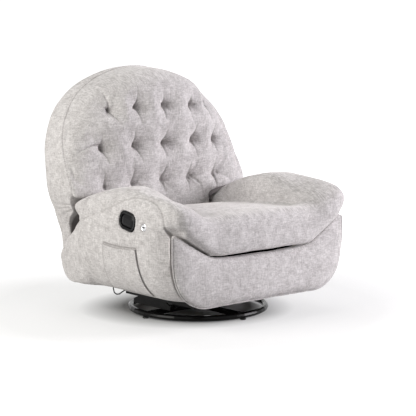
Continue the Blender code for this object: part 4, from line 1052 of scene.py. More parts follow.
@dataclass
class Arms:
    """Sizes of the pillow arms, with the skirt that turns under and the tips over the footrest."""

    inner: float = 0.2666
    outer: float = 0.465
    skirt: float = 0.120
    top: float = 0.553
    peak_y: float = -0.300
    front_drop: float = 0.038
    rear_drop: float = 0.078
    rear_power: float = 3.0
    rear_fall: float = 0.030
    rear_tilt: float = 0.010
    slack_drop: float = 0.122
    slack_tilt: float = 0.034
    slack_power: float = 2.5
    slack_top: float = 0.559
    tilt: float = 0.072
    tilt_start: float = -0.100
    tilt_end: float = -0.335
    tip_y: float = -0.471
    face_y: float = -0.385
    rear_y: float = 0.200
    body_end: float = 0.158
    bolster_y: float = 0.224
    bolster_low: float = 0.390
    bolster_lift: float = 0.030
    bolster_least: float = 0.062
    wall_y: float = 0.338
    wall_inner: float = 0.393
    wall_front_z: float = 0.366
    wall_rear_z: float = 0.240
    wall_tuck: float = 0.042
    wall_corner: float = 0.085
    wall_over: float = 0.012
    rear_start: float = 0.12
    sleeve_x: float = 0.2650
    sleeve_half: float = 0.0128
    sleeve_z: float = 0.310
    sleeve_rise: float = 0.098
    sleeve_power: float = 5.0
    sleeve_rows: tuple = ((0.060, 1.0), (0.100, 1.0), (0.150, 1.0), (0.168, 1.0), (0.171, 0.8))
    crown: float = 3.4
    foot: float = 6.0
    under_z: float = 0.300
    under_tuck: float = 0.085
    under_power: float = 1.85
    under_fade: float = 0.080
    under_least: float = 0.3
    corner_y: float = -0.280
    corner_tuck: float = 0.046
    corner_z: float = 0.430
    corner_fade: float = 0.040
    lip_low: float = 0.2938
    lip_half: float = 0.252
    lip_slope: float = 0.63
    ring: int = 88

    def crest(self, y: float) -> float:
        """Find the height of the arm's crown line.

        Args:
            y: Where along the arm.

        Returns:
            The height, which falls from the peak to the tip and to the rear.
        """
        if y < self.peak_y:
            return self.top - self.front_drop * ((self.peak_y - y) / (self.peak_y - self.tip_y)) ** 2.0
        share = (y - self.peak_y) / (self.rear_y - self.peak_y)
        return self.top - self.rear_drop * share**self.rear_power

    def fall(self, y: float) -> float:
        """How far the crown falls from the outer to the inner side."""
        return self.tilt * float(ease((self.tilt_start - y) / (self.tilt_start - self.tilt_end)))

    def hollow(self, y: float, x: np.ndarray) -> np.ndarray:
        """Find how far the crown falls near its rear.

        Args:
            y: Where along the arm.
            x: Distances from the chair's middle.

        Returns:
            Fall towards the back's cushion beside it, and towards the outer side.
        """
        beside = self.rear_fall * ease((y - 0.06) / 0.07) * ease((0.325 - x) / 0.050)
        outside = self.rear_tilt * float(ease((y + 0.18) / 0.24))
        return beside + outside * np.clip((x - 0.335) / 0.125, 0.0, 1.0)

    def reach(self, y: float) -> float:
        """How far out the arm's side stands, tucked in towards the rear."""
        return self.outer - self.wall_tuck * (max(y, 0.0) / self.wall_y) ** 2

    def tuck(self, y: float, z: np.ndarray | float) -> np.ndarray:
        """Find how far the side is drawn in under the chair and round its front corner.

        Args:
            y: Where along the arm.
            z: Height.

        Returns:
            Distance inwards.
        """
        depth = np.clip((self.under_z - z) / (self.under_z - self.skirt), 0, 1)
        under = self.under_tuck * (1 - bow(depth, self.under_power))
        fade = ease((y - self.under_fade) / (self.rear_y - self.under_fade))
        under = under * (1 - (1 - self.under_least) * fade)
        turn = max(self.corner_y - y, 0.0) / (self.corner_y - self.face_y)
        return under + self.corner_tuck * turn**2 * ease((self.corner_z - z) / self.corner_fade)

    def share(self, y: float, z: np.ndarray | float) -> np.ndarray:
        """Find how far from the section's middle the side stands.

        Args:
            y: Where along the arm.
            z: Height.

        Returns:
            Share of the section's half width.
        """
        high = self.crest(y)
        v = (z - (self.skirt + high) / 2) / ((high - self.skirt) / 2)
        return np.where(v > 0, bow(v, self.crown), bow(v, self.foot))

    def side(self, y: float, z: float) -> float:
        """How far out the arm's side stands at a point of the side."""
        width = self.reach(y) - float(self.tuck(y, z)) - self.inner
        return self.inner + width * (1 + float(self.share(y, z))) / 2

    def section(self, y: float, full: float) -> np.ndarray:
        """Cross-section of the arm, or of its tip.

        Args:
            y: Where along the arm.
            full: Share of the section's size, under 1 at the round ends.

        Returns:
            Points of the ring on the +X side.
        """
        u, v = superellipse(self.ring, self.crown, self.foot)
        inner, outer, high = self.inner, self.reach(y), self.crest(y)
        middle, half = (inner + outer) / 2, (outer - inner) / 2
        if y < self.face_y:
            low = self.lip_low + rise(middle + u * half, self.lip_half, self.lip_slope)
            edge = self.lip_low + rise(middle + np.copysign(half, u), self.lip_half, self.lip_slope)
            z = np.where(v > 0, edge + (high - edge) * v, low)
            x = np.where(v > 0, middle + np.copysign(half * self.share(y, z), u), middle + u * half)
            floor = self.lip_low + float(rise(middle, self.lip_half, self.lip_slope))
        else:
            floor = self.skirt
            z = (floor + high) / 2 + v * (high - floor) / 2
            x = inner + (u + 1) / 2 * (outer - self.tuck(y, z) - inner)
        z = z - np.maximum(v, 0.0) * (self.fall(y) * (outer - x) / (outer - inner) + self.hollow(y, x))
        centre = np.array((middle, (floor + high) / 2))
        spot = centre + (np.stack([x, z], 1) - centre) * full
        return np.stack([spot[:, 0], np.full(len(u), y), spot[:, 1]], 1)

    def bolster(self, y: float, full: float) -> np.ndarray:
        """Cross-section of the rolled rear end of the arm's top.

        Args:
            y: Where along the arm.
            full: Share of the section's size, under 1 at the round end.

        Returns:
            Points of the ring on the +X side.
        """
        u, v = superellipse(self.ring, self.crown, 3.0)
        outer, high = self.reach(y), self.crest(min(y, self.rear_y))
        low = self.bolster_low + self.bolster_lift * float(ease((y - 0.15) / 0.06))
        low = min(low, high - self.bolster_least)
        centre = np.array(((self.inner + outer) / 2, (low + high) / 2))
        spot = centre + np.stack([u * (outer - self.inner) / 2, v * (high - low) / 2], 1) * full
        spot[:, 1] -= np.maximum(v, 0.0) * self.hollow(y, spot[:, 0])
        return np.stack([spot[:, 0], np.full(len(u), y), spot[:, 1]], 1)

    def wall(self, y: float, full: float) -> np.ndarray:
        """Cross-section of the thin wall behind the arm.

        Args:
            y: Where along the wall.
            full: Share of the section's size, under 1 at the round end.

        Returns:
            Points of the ring on the +X side.
        """
        u, v = superellipse(self.ring, self.crown, self.foot)
        run = min(max(y - self.wall_y + self.wall_corner, 0.0), self.wall_corner)
        low = self.skirt + self.wall_corner - math.sqrt(self.wall_corner**2 - run**2)
        slope = self.wall_rear_z - self.wall_front_z
        high = self.wall_front_z + slope * (y - self.rear_y) / (self.wall_y - self.rear_y)
        high = min(high, self.bolster_low + self.wall_over)
        z = (low + high) / 2 + v * (high - low) / 2
        outer = self.reach(y) - self.tuck(y, z)
        x = self.wall_inner + (u + 1) / 2 * (outer - self.wall_inner)
        centre = np.array(((self.wall_inner + self.reach(y)) / 2, (low + high) / 2))
        spot = centre + (np.stack([x, z], 1) - centre) * full
        return np.stack([spot[:, 0], np.full(len(u), y), spot[:, 1]], 1)

    def sleeve(self, y: float, full: float) -> np.ndarray:
        """Cross-section of the cloth that wraps the arm's panel behind the seat.

        Args:
            y: Where along the panel.
            full: Share of the section's size, under 1 at the round end.

        Returns:
            Points of the ring on the +X side.
        """
        u, v = superellipse(self.ring, self.sleeve_power, self.sleeve_power)
        x = self.sleeve_x + u * self.sleeve_half * full
        return np.stack([x, np.full(len(u), y), self.sleeve_z + v * self.sleeve_rise * full], 1)

    def rings(self) -> list[list[np.ndarray]]:
        """Cut one arm into cross-sections.

        Returns:
            Rings of the body with its tip, the rolled rear end, the rear wall and the sleeve.
        """
        nose = self.face_y - self.tip_y
        shares = np.concatenate([np.linspace(0, 0.25, 8), np.linspace(0.32, 0.985, 9)])
        fronts = [(self.tip_y + nose * s, 0.5 + 0.5 * float(bow(1 - min(s / 0.7, 1.0), 2.3))) for s in shares]
        body = [self.section(y, full) for y, full in fronts]
        body += [self.section(y, 1.0) for y in np.linspace(self.face_y + 0.0005, self.body_end, 60)]
        run, tail = self.bolster_y - self.rear_start, self.wall_y - self.rear_start
        rear, wall = [], []
        for s in np.linspace(0, 1, 24):
            full = 0.62 + 0.38 * float(bow(max(s - 0.55, 0) / 0.45, 2.0))
            rear.append(self.bolster(self.rear_start + run * s, full))
        for s in np.linspace(0, 1, 34):
            full = 0.45 + 0.55 * float(bow(max(s - 0.78, 0) / 0.22, 2.2))
            wall.append(self.wall(self.rear_start + tail * s, full))
        return [body, rear, wall, [self.sleeve(y, full) for y, full in self.sleeve_rows]]

    def skins(self) -> list[tuple[np.ndarray, list]]:
        """Skin both arms; the +X one sits a little lower towards the rear.

        Returns:
            Closed skins, as points and faces.
        """
        slack = replace(
            self, top=self.slack_top, rear_drop=self.slack_drop,
            rear_tilt=self.slack_tilt, rear_power=self.slack_power,
        )
        made = [loft(rings) for rings in slack.rings()]
        made += [loft([ring * np.array((-1, 1, 1)) for ring in rings[::-1]]) for rings in self.rings()]
        return made


@dataclass
class Seat:
    """Sizes of the seat."""

    half: float = 0.2664
    low_half: float = 0.253
    step_z: float = 0.402
    ply_front: float = -0.368
    top: float = 0.458
    low: float = 0.2938
    front: float = -0.466
    rear: float = 0.1008
    crown: float = 0.018
    dip: float = 0.022
    arch: float = 0.004
    power: float = 3.3
    ring: int = 88

    def skin(self) -> tuple[np.ndarray, list]:
        """Skin the seat.

        Returns:
            Points and faces of the closed skin.
        """
        rings = []
        for share in np.sin(np.pi / 2 * np.linspace(-1, 1, 61)):
            u, v = superellipse(self.ring, self.power, 7.0)
            front = self.front + 0.010 * share**2
            y = (front + self.rear) / 2 + u * (self.rear - front) / 2
            high = self.top - self.crown * share**2 - self.dip * ease((y - front) / (self.rear - front))
            low = self.low + self.arch * (1 - share**2) * (y < front + 0.12)
            z = (low + high) / 2 + v * (high - low) / 2
            half = np.where((z > self.step_z) | (y < self.ply_front), self.half + 0.004, self.low_half)
            rings.append(np.stack([half * share, y, z], 1))
        return loft(rings)


@dataclass
class Lip:
    """Sizes of the boomerang lip that runs on from the seat into both arm tips."""

    across: tuple = (0.0, 0.150, 0.240, 0.300, 0.350, 0.400, 0.430, 0.448, 0.459)
    top: tuple = (0.458, 0.455, 0.448, 0.457, 0.476, 0.496, 0.494, 0.482, 0.452)
    front: tuple = (-0.470, -0.468, -0.465, -0.463, -0.462, -0.461, -0.460, -0.457, -0.450)
    low: float = 0.2938
    arch: float = 0.006
    half: float = 0.252
    slope: float = 0.63
    rear: float = -0.330
    power: float = 2.9
    foot: float = 6.0

    def skin(self) -> tuple[np.ndarray, list]:
        """Skin the lip.

        Returns:
            Points and faces of the closed skin.
        """
        rings = []
        for x in self.across[-1] * np.sin(np.pi / 2 * np.linspace(-1, 1, 121)):
            u, v = superellipse(72, self.power, self.foot)
            front = float(np.interp(abs(x), self.across, self.front))
            high = float(np.interp(abs(x), self.across, self.top))
            low = self.low + float(rise(x, self.half, self.slope))
            low += self.arch * max(1 - (abs(x) / self.half) ** 2, 0.0)
            y = (front + self.rear) / 2 + u * (self.rear - front) / 2
            rings.append(np.stack([np.full(72, x), y, (low + high) / 2 + v * (high - low) / 2], 1))
        return loft(rings)


@dataclass
class Upholstery:
    """The arms, seat and lip under one cover, with the arch seams and the places of the fittings."""

    arms: Arms
    seat: Seat
    lip: Lip
    kit: TrimKit
    voxel: float = 0.006
    arch: tuple = (
        (0.178, 0.380), (0.158, 0.390), (0.107, 0.410), (0.048, 0.431), (-0.010, 0.450), (-0.063, 0.475),
        (-0.127, 0.503), (-0.177, 0.518), (-0.227, 0.526), (-0.270, 0.524), (-0.313, 0.516), (-0.348, 0.500),
        (-0.372, 0.478), (-0.386, 0.450), (-0.392, 0.420), (-0.386, 0.390), (-0.384, 0.340), (-0.384, 0.280),
        (-0.384, 0.220), (-0.384, 0.175), (-0.384, 0.140), (-0.384, 0.124),
    )
    latch: tuple = (-0.164, 0.427, math.radians(10))
    latch_half: tuple = (0.051, 0.037)
    latch_corner: float = 0.030
    latch_sink: tuple = (0.006, 0.030)
    port: tuple = (-0.267, 0.414)
    port_half: tuple = (0.015, 0.015)
    port_corner: float = 0.0149
    port_sink: tuple = (0.004, 0.018)
    lean: float = math.radians(3)
    sink: float = 0.0038

    def fitting(self, y: float, z: float, tilt: float) -> Matrix:
        """Place a fitting on the -X side.

        Args:
            y: Where along the side.
            z: Height.
            tilt: Turn about the chair's X axis.

        Returns:
            Frame with X forward along the side, Y up it and Z out of it.
        """
        forward, up, out = Vector((0, -1, 0)), Vector((0, 0, 1)), Vector((-1, 0, 0))
        turn = Matrix.Rotation(tilt, 3, "X") @ Matrix.Rotation(-self.lean, 3, "Y").inverted()
        basis = Matrix((turn @ forward, turn @ up, turn @ out)).transposed().to_4x4()
        return Matrix.Translation((self.sink - self.arms.side(y, z), y, z)) @ basis

    def seam_lines(self) -> list[np.ndarray]:
        """Draw the arch seam of each side.

        Returns:
            The two lines, near the surface until they are laid.
        """
        lines = []
        for side in (1, -1):
            arch = [(side * self.arms.side(y, z), y, z) for y, z in self.arch]
            lines.append(curve_through(arch, SEAM_STEP))
        return lines

    def _recess(self, form: Form) -> None:
        """Let the latch and the port into the cover.

        Args:
            form: The cover.
        """
        points = form.points
        for (y, z, tilt), (a, b), corner, (rim, floor) in (
            (self.latch, self.latch_half, self.latch_corner, self.latch_sink),
            ((*self.port, 0.0), self.port_half, self.port_corner, self.port_sink),
        ):
            place = self.fitting(y, z, tilt)
            back = np.array(place.inverted())
            local = points @ back[:3, :3].T + back[:3, 3]
            inner = np.abs(local[:, :2]) - (np.array((a, b)) - corner)
            gap = np.linalg.norm(np.maximum(inner, 0), axis=1) + np.minimum(inner.max(1), 0) - corner
            near = (np.abs(local[:, 2]) < 0.03) & (gap < 0.012)
            sunk = np.where(gap < -0.006, -floor, -rim)
            low = local[:, 2] + (np.minimum(sunk, local[:, 2]) - local[:, 2]) * ease((0.0035 - gap) / 0.003)
            local[near, 2] = low[near]
            forth = np.array(place)
            points[near] = local[near] @ forth[:3, :3].T + forth[:3, 3]
        form.points = points

    def _soften(self, form: Form) -> None:
        """Smooth the joins between the skins: tips, creases beside the seat, heels and rolled ends.

        Args:
            form: The cover, fresh from its skins.
        """
        points = form.points
        x, y, z = np.abs(points[:, 0]), points[:, 1], points[:, 2]
        edge = self.lip.low + rise(x, self.lip.half, self.lip.slope)
        join = ease(1.4 - np.abs(x - 0.275) / 0.10) * ease((-0.27 - y) / 0.07)
        join = join * ease((z - edge - 0.008) / 0.03)
        crease = ease(1 - np.abs(x - 0.268) / 0.030) * ease((z - 0.40) / 0.02) * 0.5
        form.relax(2)
        heel = ease((y - 0.09) / 0.04) * ease((0.25 - y) / 0.04) * ease((0.37 - z) / 0.03)
        heel = heel * ease((x - 0.33) / 0.05) * 0.5
        tip = ease((x - 0.37) / 0.04) * ease((-0.37 - y) / 0.03) * ease((z - edge - 0.010) / 0.02)
        tip = tip * ease((0.475 - z) / 0.03) * 0.7
        roll = ease((y - 0.09) / 0.04) * ease((z - 0.405) / 0.03) * ease((x - 0.31) / 0.04) * 0.4
        form.relax(46, np.max([join, crease, heel, tip, roll], axis=0))

    def _draw_in(self, form: Form) -> None:
        """Draw the sides of the tips in below their points.

        Args:
            form: The cover.
        """
        points = form.points
        reach, y, z = np.abs(points[:, 0]), points[:, 1], points[:, 2]
        inward = 0.030 * ease((reach - 0.395) / 0.06) * ease((0.478 - z) / 0.07) * ease((-0.375 - y) / 0.05)
        points[:, 0] -= np.copysign(inward, points[:, 0])
        form.points = points

    def build(self, look: bpy.types.Material, pocket: "Pocket") -> None:
        """Shape the cover, sew it and hand it over.

        Args:
            look: The cloth.
            pocket: The pocket whose edges are sewn to it.
        """
        form = Form("arm_and_seat_cover", [*self.arms.skins(), self.seat.skin(), self.lip.skin()])
        form.remesh(self.voxel)
        self._soften(form)
        self._draw_in(form)
        form.ripple(0.0022, 11.0, 3.1)
        seams = [form.snapped(line, 0.0) for line in pocket.edges()]
        lines = [form.snapped(line, 0.0) for line in self.seam_lines()]
        points = form.points
        spots = [np.array((-self.arms.side(y, z), y, z)) for y, z, *_ in (self.latch, self.port)]
        chosen = np.linalg.norm(points - spots[0], axis=1) < 0.075
        chosen |= np.linalg.norm(points - spots[1], axis=1) < 0.032
        form.refine(chosen)
        form.refine_along([*lines, *seams], 0.012)
        # Each arch seam is pressed in with painted shade in its groove, darker along the arm's front edge
        # beside the footrest; the pocket's edges get painted shade too.
        for line in lines:
            form.press(line, 0.0042, 0.0028, shade=0.35)
            form.press(line[(line[:, 1] < -0.37) & (line[:, 2] < 0.425)], 0.0062, 0.0030, shade=1.0)
        for line, width in zip(seams, (0.0034, 0.0022, 0.0030)):
            form.press(line, width, 0.0018, shade=1.1)
        self._recess(form)
        stitches = [form.snapped(line + np.array((0.0, 0.0, -0.006)), self.kit.lift) for line in lines]
        form.finish(Body.CHAIR, look, "arm_left", "arm_right", "seat_cushion")
        self.kit.run("arm_stitching", Trim.STITCH, stitches, Body.CHAIR)


@dataclass
class Pocket:
    """Patch pocket on the -X side, sewn down its two edges and under the skirt."""

    arms: Arms
    kit: TrimKit
    rear: float = -0.015
    front: float = -0.221
    front_low: float = -0.262
    top: float = 0.323
    low: float = 0.138
    sag: float = 0.005
    gape: float = 0.0045
    fullness: float = 0.0035
    cloth: float = 0.0018
    # Spread of the painted shade along the patch's edges and mouth.
    dark: float = 0.0022
    count: int = 44

    def spot(self, across: float, up: float, lift: float = 0.0) -> np.ndarray:
        """A point of the pocket.

        Args:
            across: From 0 at the rear edge to 1 at the front edge.
            up: From 0 at the foot to 1 at the mouth.
            lift: How far off the patch.

        Returns:
            The point.
        """
        front = self.front_low + (self.front - self.front_low) * up**0.8
        y = self.rear + (front - self.rear) * across
        middle = max(math.sin(math.pi * across), 0.0)
        z = self.low + (self.top - self.low) * up - self.sag * middle * up
        proud = 0.0012 + self.fullness * math.sqrt(middle) * min(1.0, 2.2 * up)
        proud += self.gape * middle * max(up - 0.75, 0) / 0.25
        proud += 0.0012 * math.sin(9 * across + 5 * up) * middle
        out = self.arms.side(y, z) + proud + lift
        return np.array((-out, y, z))

    def edges(self) -> list[np.ndarray]:
        """Lines along the sewn edges, rear and front, and over the mouth."""
        sides = [np.array([self.spot(side, up) for up in np.linspace(0, 1, 40)]) for side in (-0.018, 1.008)]
        return [*sides, np.array([self.spot(across, 1.022) for across in np.linspace(0, 1, 40)])]

    def patch(self, look: bpy.types.Material) -> tuple[bpy.types.Object, np.ndarray]:
        """Cut the patch with painted shade along its edges and mouth and give the cloth its thickness.

        Args:
            look: The cloth.

        Returns:
            The patch and the grid of its points.
        """
        count = self.count
        points = [self.spot(i / count, j / count) for j in range(count + 1) for i in range(count + 1)]
        faces, dark = [], []
        for j in range(count):
            for i in range(count):
                a = j * (count + 1) + i
                faces.append((a, a + count + 1, a + count + 2, a + 1))
        # Painted shade along the side edges and the mouth, kept in the seam attribute.
        for j in range(count + 1):
            for i in range(count + 1):
                edge, hem = min(i, count - i) / count * 0.21, (count - j) / count * 0.19
                dark.append(max(math.exp(-(edge / self.dark) ** 2), 0.9 * math.exp(-(hem / self.dark) ** 2)))
        mesh = bpy.data.meshes.new("pocket_patch")
        mesh.from_pydata((np.array(points) + ORIGIN).tolist(), [], faces)
        obj = bpy.data.objects.new("pocket_patch", mesh)
        bpy.context.scene.collection.objects.link(obj)
        mesh.materials.append(look)
        mesh.attributes.new("seam", "FLOAT", "POINT").data.foreach_set("value", dark)
        thick = obj.modifiers.new("cloth", "SOLIDIFY")
        thick.thickness = self.cloth
        thick.offset = -1.0
        seen = bpy.context.evaluated_depsgraph_get()
        plain = bpy.data.meshes.new_from_object(obj.evaluated_get(seen), depsgraph=seen)
        obj.modifiers.clear()
        obj.data = plain
        plain.shade_smooth()
        return obj, np.array(points).reshape(count + 1, count + 1, 3)

    def build(self, look: bpy.types.Material) -> None:
        """Cut, sew and hand over the pocket.

        Args:
            look: The cloth.
        """
        obj, grid = self.patch(look)
        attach(obj, Body.CHAIR.value)
        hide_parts("side_pocket")
        lift = self.kit.lift
        sewn = []
        for inset in (0.020, 0.045):
            for across in (inset, 1 - inset):
                sewn.append(np.array([self.spot(across, t, lift) for t in np.linspace(0.02, 0.97, 60)]))
        sewn.append(np.array([self.spot(t, 0.90, lift) for t in np.linspace(0.05, 0.95, 60)]))
        self.kit.run("pocket_stitching", Trim.STITCH, sewn, Body.CHAIR)


@dataclass
class PortFace:
    """Bright face with a slot, set in the charging port's rim."""

    cover: Upholstery
    radius: float = 0.0098
    slot: tuple = (0.0076, 0.0025)
    thick: float = 0.0012
    proud: float = 0.0012
    count: int = 48

    def build(self, look: bpy.types.Material) -> None:
        """Cut the slotted face and hand it over.

        Args:
            look: The plating.
        """
        place = self.cover.fitting(*self.cover.port, 0.0)
        turn = 2 * np.pi * np.arange(self.count) / self.count
        outer = np.stack([np.cos(turn), np.sin(turn)], 1) * self.radius
        sides = np.sign(np.cos(turn)) * np.abs(np.cos(turn)) ** 0.4
        inner = np.stack([sides, np.sin(turn)], 1) * np.array(self.slot)
        levels = [(outer, -self.thick), (outer, 0.0), (inner, 0.0), (inner, -self.thick)]
        points, faces = [], []
        for ring, height in levels:
            for x, y in ring:
                points.append(place @ Vector((x, y, self.proud + height)))
        for level in range(4):
            a, b = level * self.count, (level + 1) % 4 * self.count
            for i in range(self.count):
                j = (i + 1) % self.count
                faces.append((a + i, a + j, b + j, b + i))
        form = Form("port_face", [(np.array([tuple(p) for p in points]), faces)])
        form.points = form.points + ORIGIN
        form.obj.data.materials.append(look)
        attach(form.obj, Body.CHAIR.value)
        LOG.info("port_face: %d faces on %s", len(faces), Body.CHAIR.value)


@dataclass
class Back:
    """The tufted dome back: a sewn-in cushion, a welted seam and the boxed cover behind it."""

    kit: TrimKit
    radius: float = 0.460
    dome_z: float = 0.520
    lean: float = math.radians(12)
    seam_z: tuple = (0.345, 0.520, 0.595, 0.650, 0.705, 0.765, 0.830, 0.880, 0.920, 0.980)
    seam_at: tuple = (0.163, 0.204, 0.247, 0.283, 0.317, 0.346, 0.374, 0.390, 0.396, 0.392)
    bottom: float = 0.345
    front_y: float = 0.152
    forward: float = 0.090
    power: float = 2.6
    edge: float = 0.010
    roll: float = 0.140
    crest_y: float = 0.300
    flare_z: float = 0.441
    flare: float = 0.047
    low_half: float = 0.2485
    rows: tuple = (0.828, 0.671, 0.513)
    columns: tuple = (
        ((-0.250, -0.008), (-0.142, 0.002), (-0.006, 0.003), (0.148, -0.006), (0.258, -0.006)),
        ((-0.300, -0.004), (-0.148, 0.002), (0.006, 0.000), (0.166, 0.002), (0.296, -0.003)),
        ((-0.302, -0.002), (-0.160, 0.000), (-0.004, 0.004), (0.142, 0.000), (0.284, 0.005)),
    )
    tuft_depth: float = 0.050
    tuft_spread: float = 0.027
    pit_depth: float = 0.010
    pit_spread: float = 0.0075
    # Spread of the painted shade in each tuft's pit.
    pit_painted_shade_spread: float = 0.008
    spare: float = 0.010
    # Folds at the sides: their points, then width, depth and painted shade.
    folds: tuple = (
        (((-0.300, 0.15, 0.680), (-0.345, 0.16, 0.684), (-0.392, 0.18, 0.668), (-0.430, 0.22, 0.640)),
         0.0055, 0.0090, 1.0),
        (((0.300, 0.15, 0.521), (0.340, 0.16, 0.505), (0.375, 0.18, 0.478)), 0.006, 0.005, 0.25),
        (((0.150, 0.14, 0.521), (0.185, 0.14, 0.490), (0.200, 0.13, 0.440)), 0.006, 0.005, 0.25),
    )
    gap: float = 0.0006
    shell_low: float = 0.200
    shell_half: float = 0.385
    shell_flare: float = 0.285
    shell_rear: float = 0.462
    shell_top_rear: float = 0.515
    shell_rise: float = 0.320
    shell_tuck: float = 0.200
    shell_roll: float = 0.200
    shell_power: float = 5.0
    shell_edge: float = 0.012
    under_z: tuple = (0.200, 0.355, 0.385, 0.412, 0.450, 0.490, 0.520)
    under_at: tuple = (0.300, 0.300, 0.278, 0.238, 0.228, 0.208, 0.2046)
    puckers: tuple = (
        (0.436, 0.120, 0.006), (0.424, 0.130, 0.030), (0.412, 0.100, 0.052), (0.400, 0.080, 0.075)
    )
    pucker_x: float = 0.45
    pucker_y: float = 0.240
    voxel: float = 0.0055

    def seam(self, z: np.ndarray | float) -> np.ndarray:
        """Where the seam between the cushion and the boxing lies at a height."""
        return np.interp(z, self.seam_z, self.seam_at)

    def half(self, z: float, low_half: float, flare_z: float) -> float:
        """Find the half width of the back's outline: a round dome over flared sides.

        Args:
            z: Height.
            low_half: Half width low down.
            flare_z: Height where the flare starts.

        Returns:
            The half width.
        """
        if z >= self.dome_z:
            return math.sqrt(max(self.radius**2 - (z - self.dome_z) ** 2, 0.0))
        return low_half + (self.radius - low_half) * float(ease((z - flare_z) / (self.dome_z - flare_z)))

    def cushion_half(self, z: float) -> float:
        """Find the half width of the cushion, which flares out over the arms.

        Args:
            z: Height.

        Returns:
            The half width.
        """
        if z >= self.dome_z:
            return self.half(z, self.low_half, self.flare_z)
        return self.low_half + (self.radius - self.low_half) * float(ease((z - self.flare_z) / self.flare))

    def heights(self, low: float, steps: int) -> np.ndarray:
        """Space the rows, closer together towards the top of the dome.

        Args:
            low: Height of the first row.
            steps: Rows below the dome.

        Returns:
            Heights of the rows.
        """
        straight = np.linspace(low, self.dome_z, steps, endpoint=False)
        turn = np.linspace(0, math.pi / 2 - 0.02, 2 * steps)
        return np.concatenate([straight, self.dome_z + self.radius * np.sin(turn)])

    def tufts(self) -> list[tuple[float, float]]:
        """Centres of the sewn tufts: three rows of five."""
        return [(x, z + lift) for z, row in zip(self.rows, self.columns) for x, lift in row]

    def centre(self, z: float) -> float:
        """Find the cushion's front on its middle line: it leans below and rolls over at the top.

        Args:
            z: Height.

        Returns:
            The front's Y.
        """
        if z < self.dome_z:
            return self.front_y + (z - self.dome_z) * math.tan(self.lean)
        roll_z = self.dome_z + self.radius - self.roll
        front = self.front_y - self.forward * (min(z, roll_z) - self.dome_z)
        over = min(max(z - roll_z, 0.0) / self.roll, 1.0)
        return front + (self.crest_y - front) * (1 - math.sqrt(1 - over * over))

    def cushion_skin(self) -> tuple[np.ndarray, list]:
        """Skin the cushion before it is tufted.

        Returns:
            Points and faces of the closed skin.
        """
        rings = []
        for z in self.heights(self.bottom, 30):
            half = self.cushion_half(z)
            seam = float(self.seam(z))
            share = np.sin(np.pi / 2 * np.linspace(-1, 1, 97))
            front = seam - self.edge - (seam - self.edge - self.centre(z)) * bow(share, self.power)
            face = np.stack([half * share, front, np.full(97, z)], 1)
            rear = np.stack([half * np.linspace(1, -1, 49), np.full(49, seam - self.gap), np.full(49, z)], 1)
            rings.append(np.concatenate([face, rear]))
        return loft(rings)

    def _tuft(self, form: Form) -> np.ndarray:
        """Draw the tufts in.

        Args:
            form: The cushion.

        Returns:
            How firmly each point is held.
        """
        points = form.points
        held = np.zeros(len(points))
        facing = form.normals[:, 1] < 0.2
        dip = np.zeros(len(points))
        for x, z in self.tufts():
            reach = np.hypot(points[:, 0] - x, points[:, 2] - z)
            dip = np.maximum(dip, np.exp(-((reach / self.tuft_spread) ** 1.15)))
            held = np.maximum(held, (reach < 0.007).astype(float))
        room = np.maximum(self.seam(points[:, 2]) - 0.011 - points[:, 1], 0.0)
        points[:, 1] += np.minimum(self.tuft_depth, 0.95 * room) * dip * facing
        form.points = points
        return held * facing

    def creases(self) -> list[tuple[np.ndarray, float, float, float]]:
        """Draw the pleats between the tufts and the folds at the sides.

        Returns:
            Lines, each with its width, depth and painted shade.
        """
        made = []
        spread = np.random.default_rng(11)
        for x, z in self.tufts():
            turns = (90 + spread.normal(0, 9), 270 + spread.normal(0, 9), *spread.uniform(0, 360, 3))
            for number, turn in enumerate(turns):
                run = spread.uniform(0.055, 0.080) if number < 2 else spread.uniform(0.022, 0.038)
                way = np.array((math.cos(math.radians(turn)), 0.0, math.sin(math.radians(turn))))
                bend = np.array((-way[2], 0.0, way[0])) * spread.normal(0, 0.10)
                start = np.array((x, 0.15, z))
                line = [start + way * run * t + bend * run * t * t for t in (0.0, 0.35, 0.7, 1.0)]
                depth = 0.0056 if number < 2 else 0.0035
                made.append((curve_through(line, CREASE_STEP), 0.0045, depth, 0.25))
        made += [(curve_through(line, CREASE_STEP), *sizes) for line, *sizes in self.folds]
        return made

    def _swell(self, form: Form) -> None:
        """Draw the cushion back, tuft it and blow it up again.

        Args:
            form: The cushion.
        """
        seam = self.seam(form.points[:, 2])
        front = ease((seam - self.edge - form.points[:, 1]) / 0.03)
        back = (self.spare * front)[:, None] * (form.normals[:, 1:2] < 0.3)
        form.points = form.points - form.normals * back
        held = self._tuft(form)
        rim = (form.points[:, 1] > self.seam(form.points[:, 2]) - 0.012).astype(float)
        low = (form.points[:, 2] < self.bottom + 0.01).astype(float)
        form.inflate(np.maximum(np.maximum(held, rim), low), 3.4, 0.022, 0.022)
        form.relax(2)

    def _pits(self, form: Form) -> None:
        """Sink the pit of each tuft and paint shade into it.

        Args:
            form: The cushion, with a finer mesh at the tufts.
        """
        points = form.points
        for x, z in self.tufts():
            reach = np.hypot(points[:, 0] - x, points[:, 2] - z)
            pit = np.exp(-((reach / self.pit_spread) ** 1.4)) * (form.normals[:, 1] < 0.5)
            room = np.maximum(self.seam(points[:, 2]) - 0.010 - points[:, 1], 0.0)
            points[:, 1] += np.minimum(self.pit_depth, 0.5 * room) * pit
        form.points = points
        # Painted shade in the pit of each tuft.
        dark = np.zeros(len(points))
        for x, z in self.tufts():
            reach = np.hypot(points[:, 0] - x, points[:, 2] - z)
            dark = np.maximum(dark, np.exp(-((reach / self.pit_painted_shade_spread) ** 2)))
        form.mark(0.8 * dark)

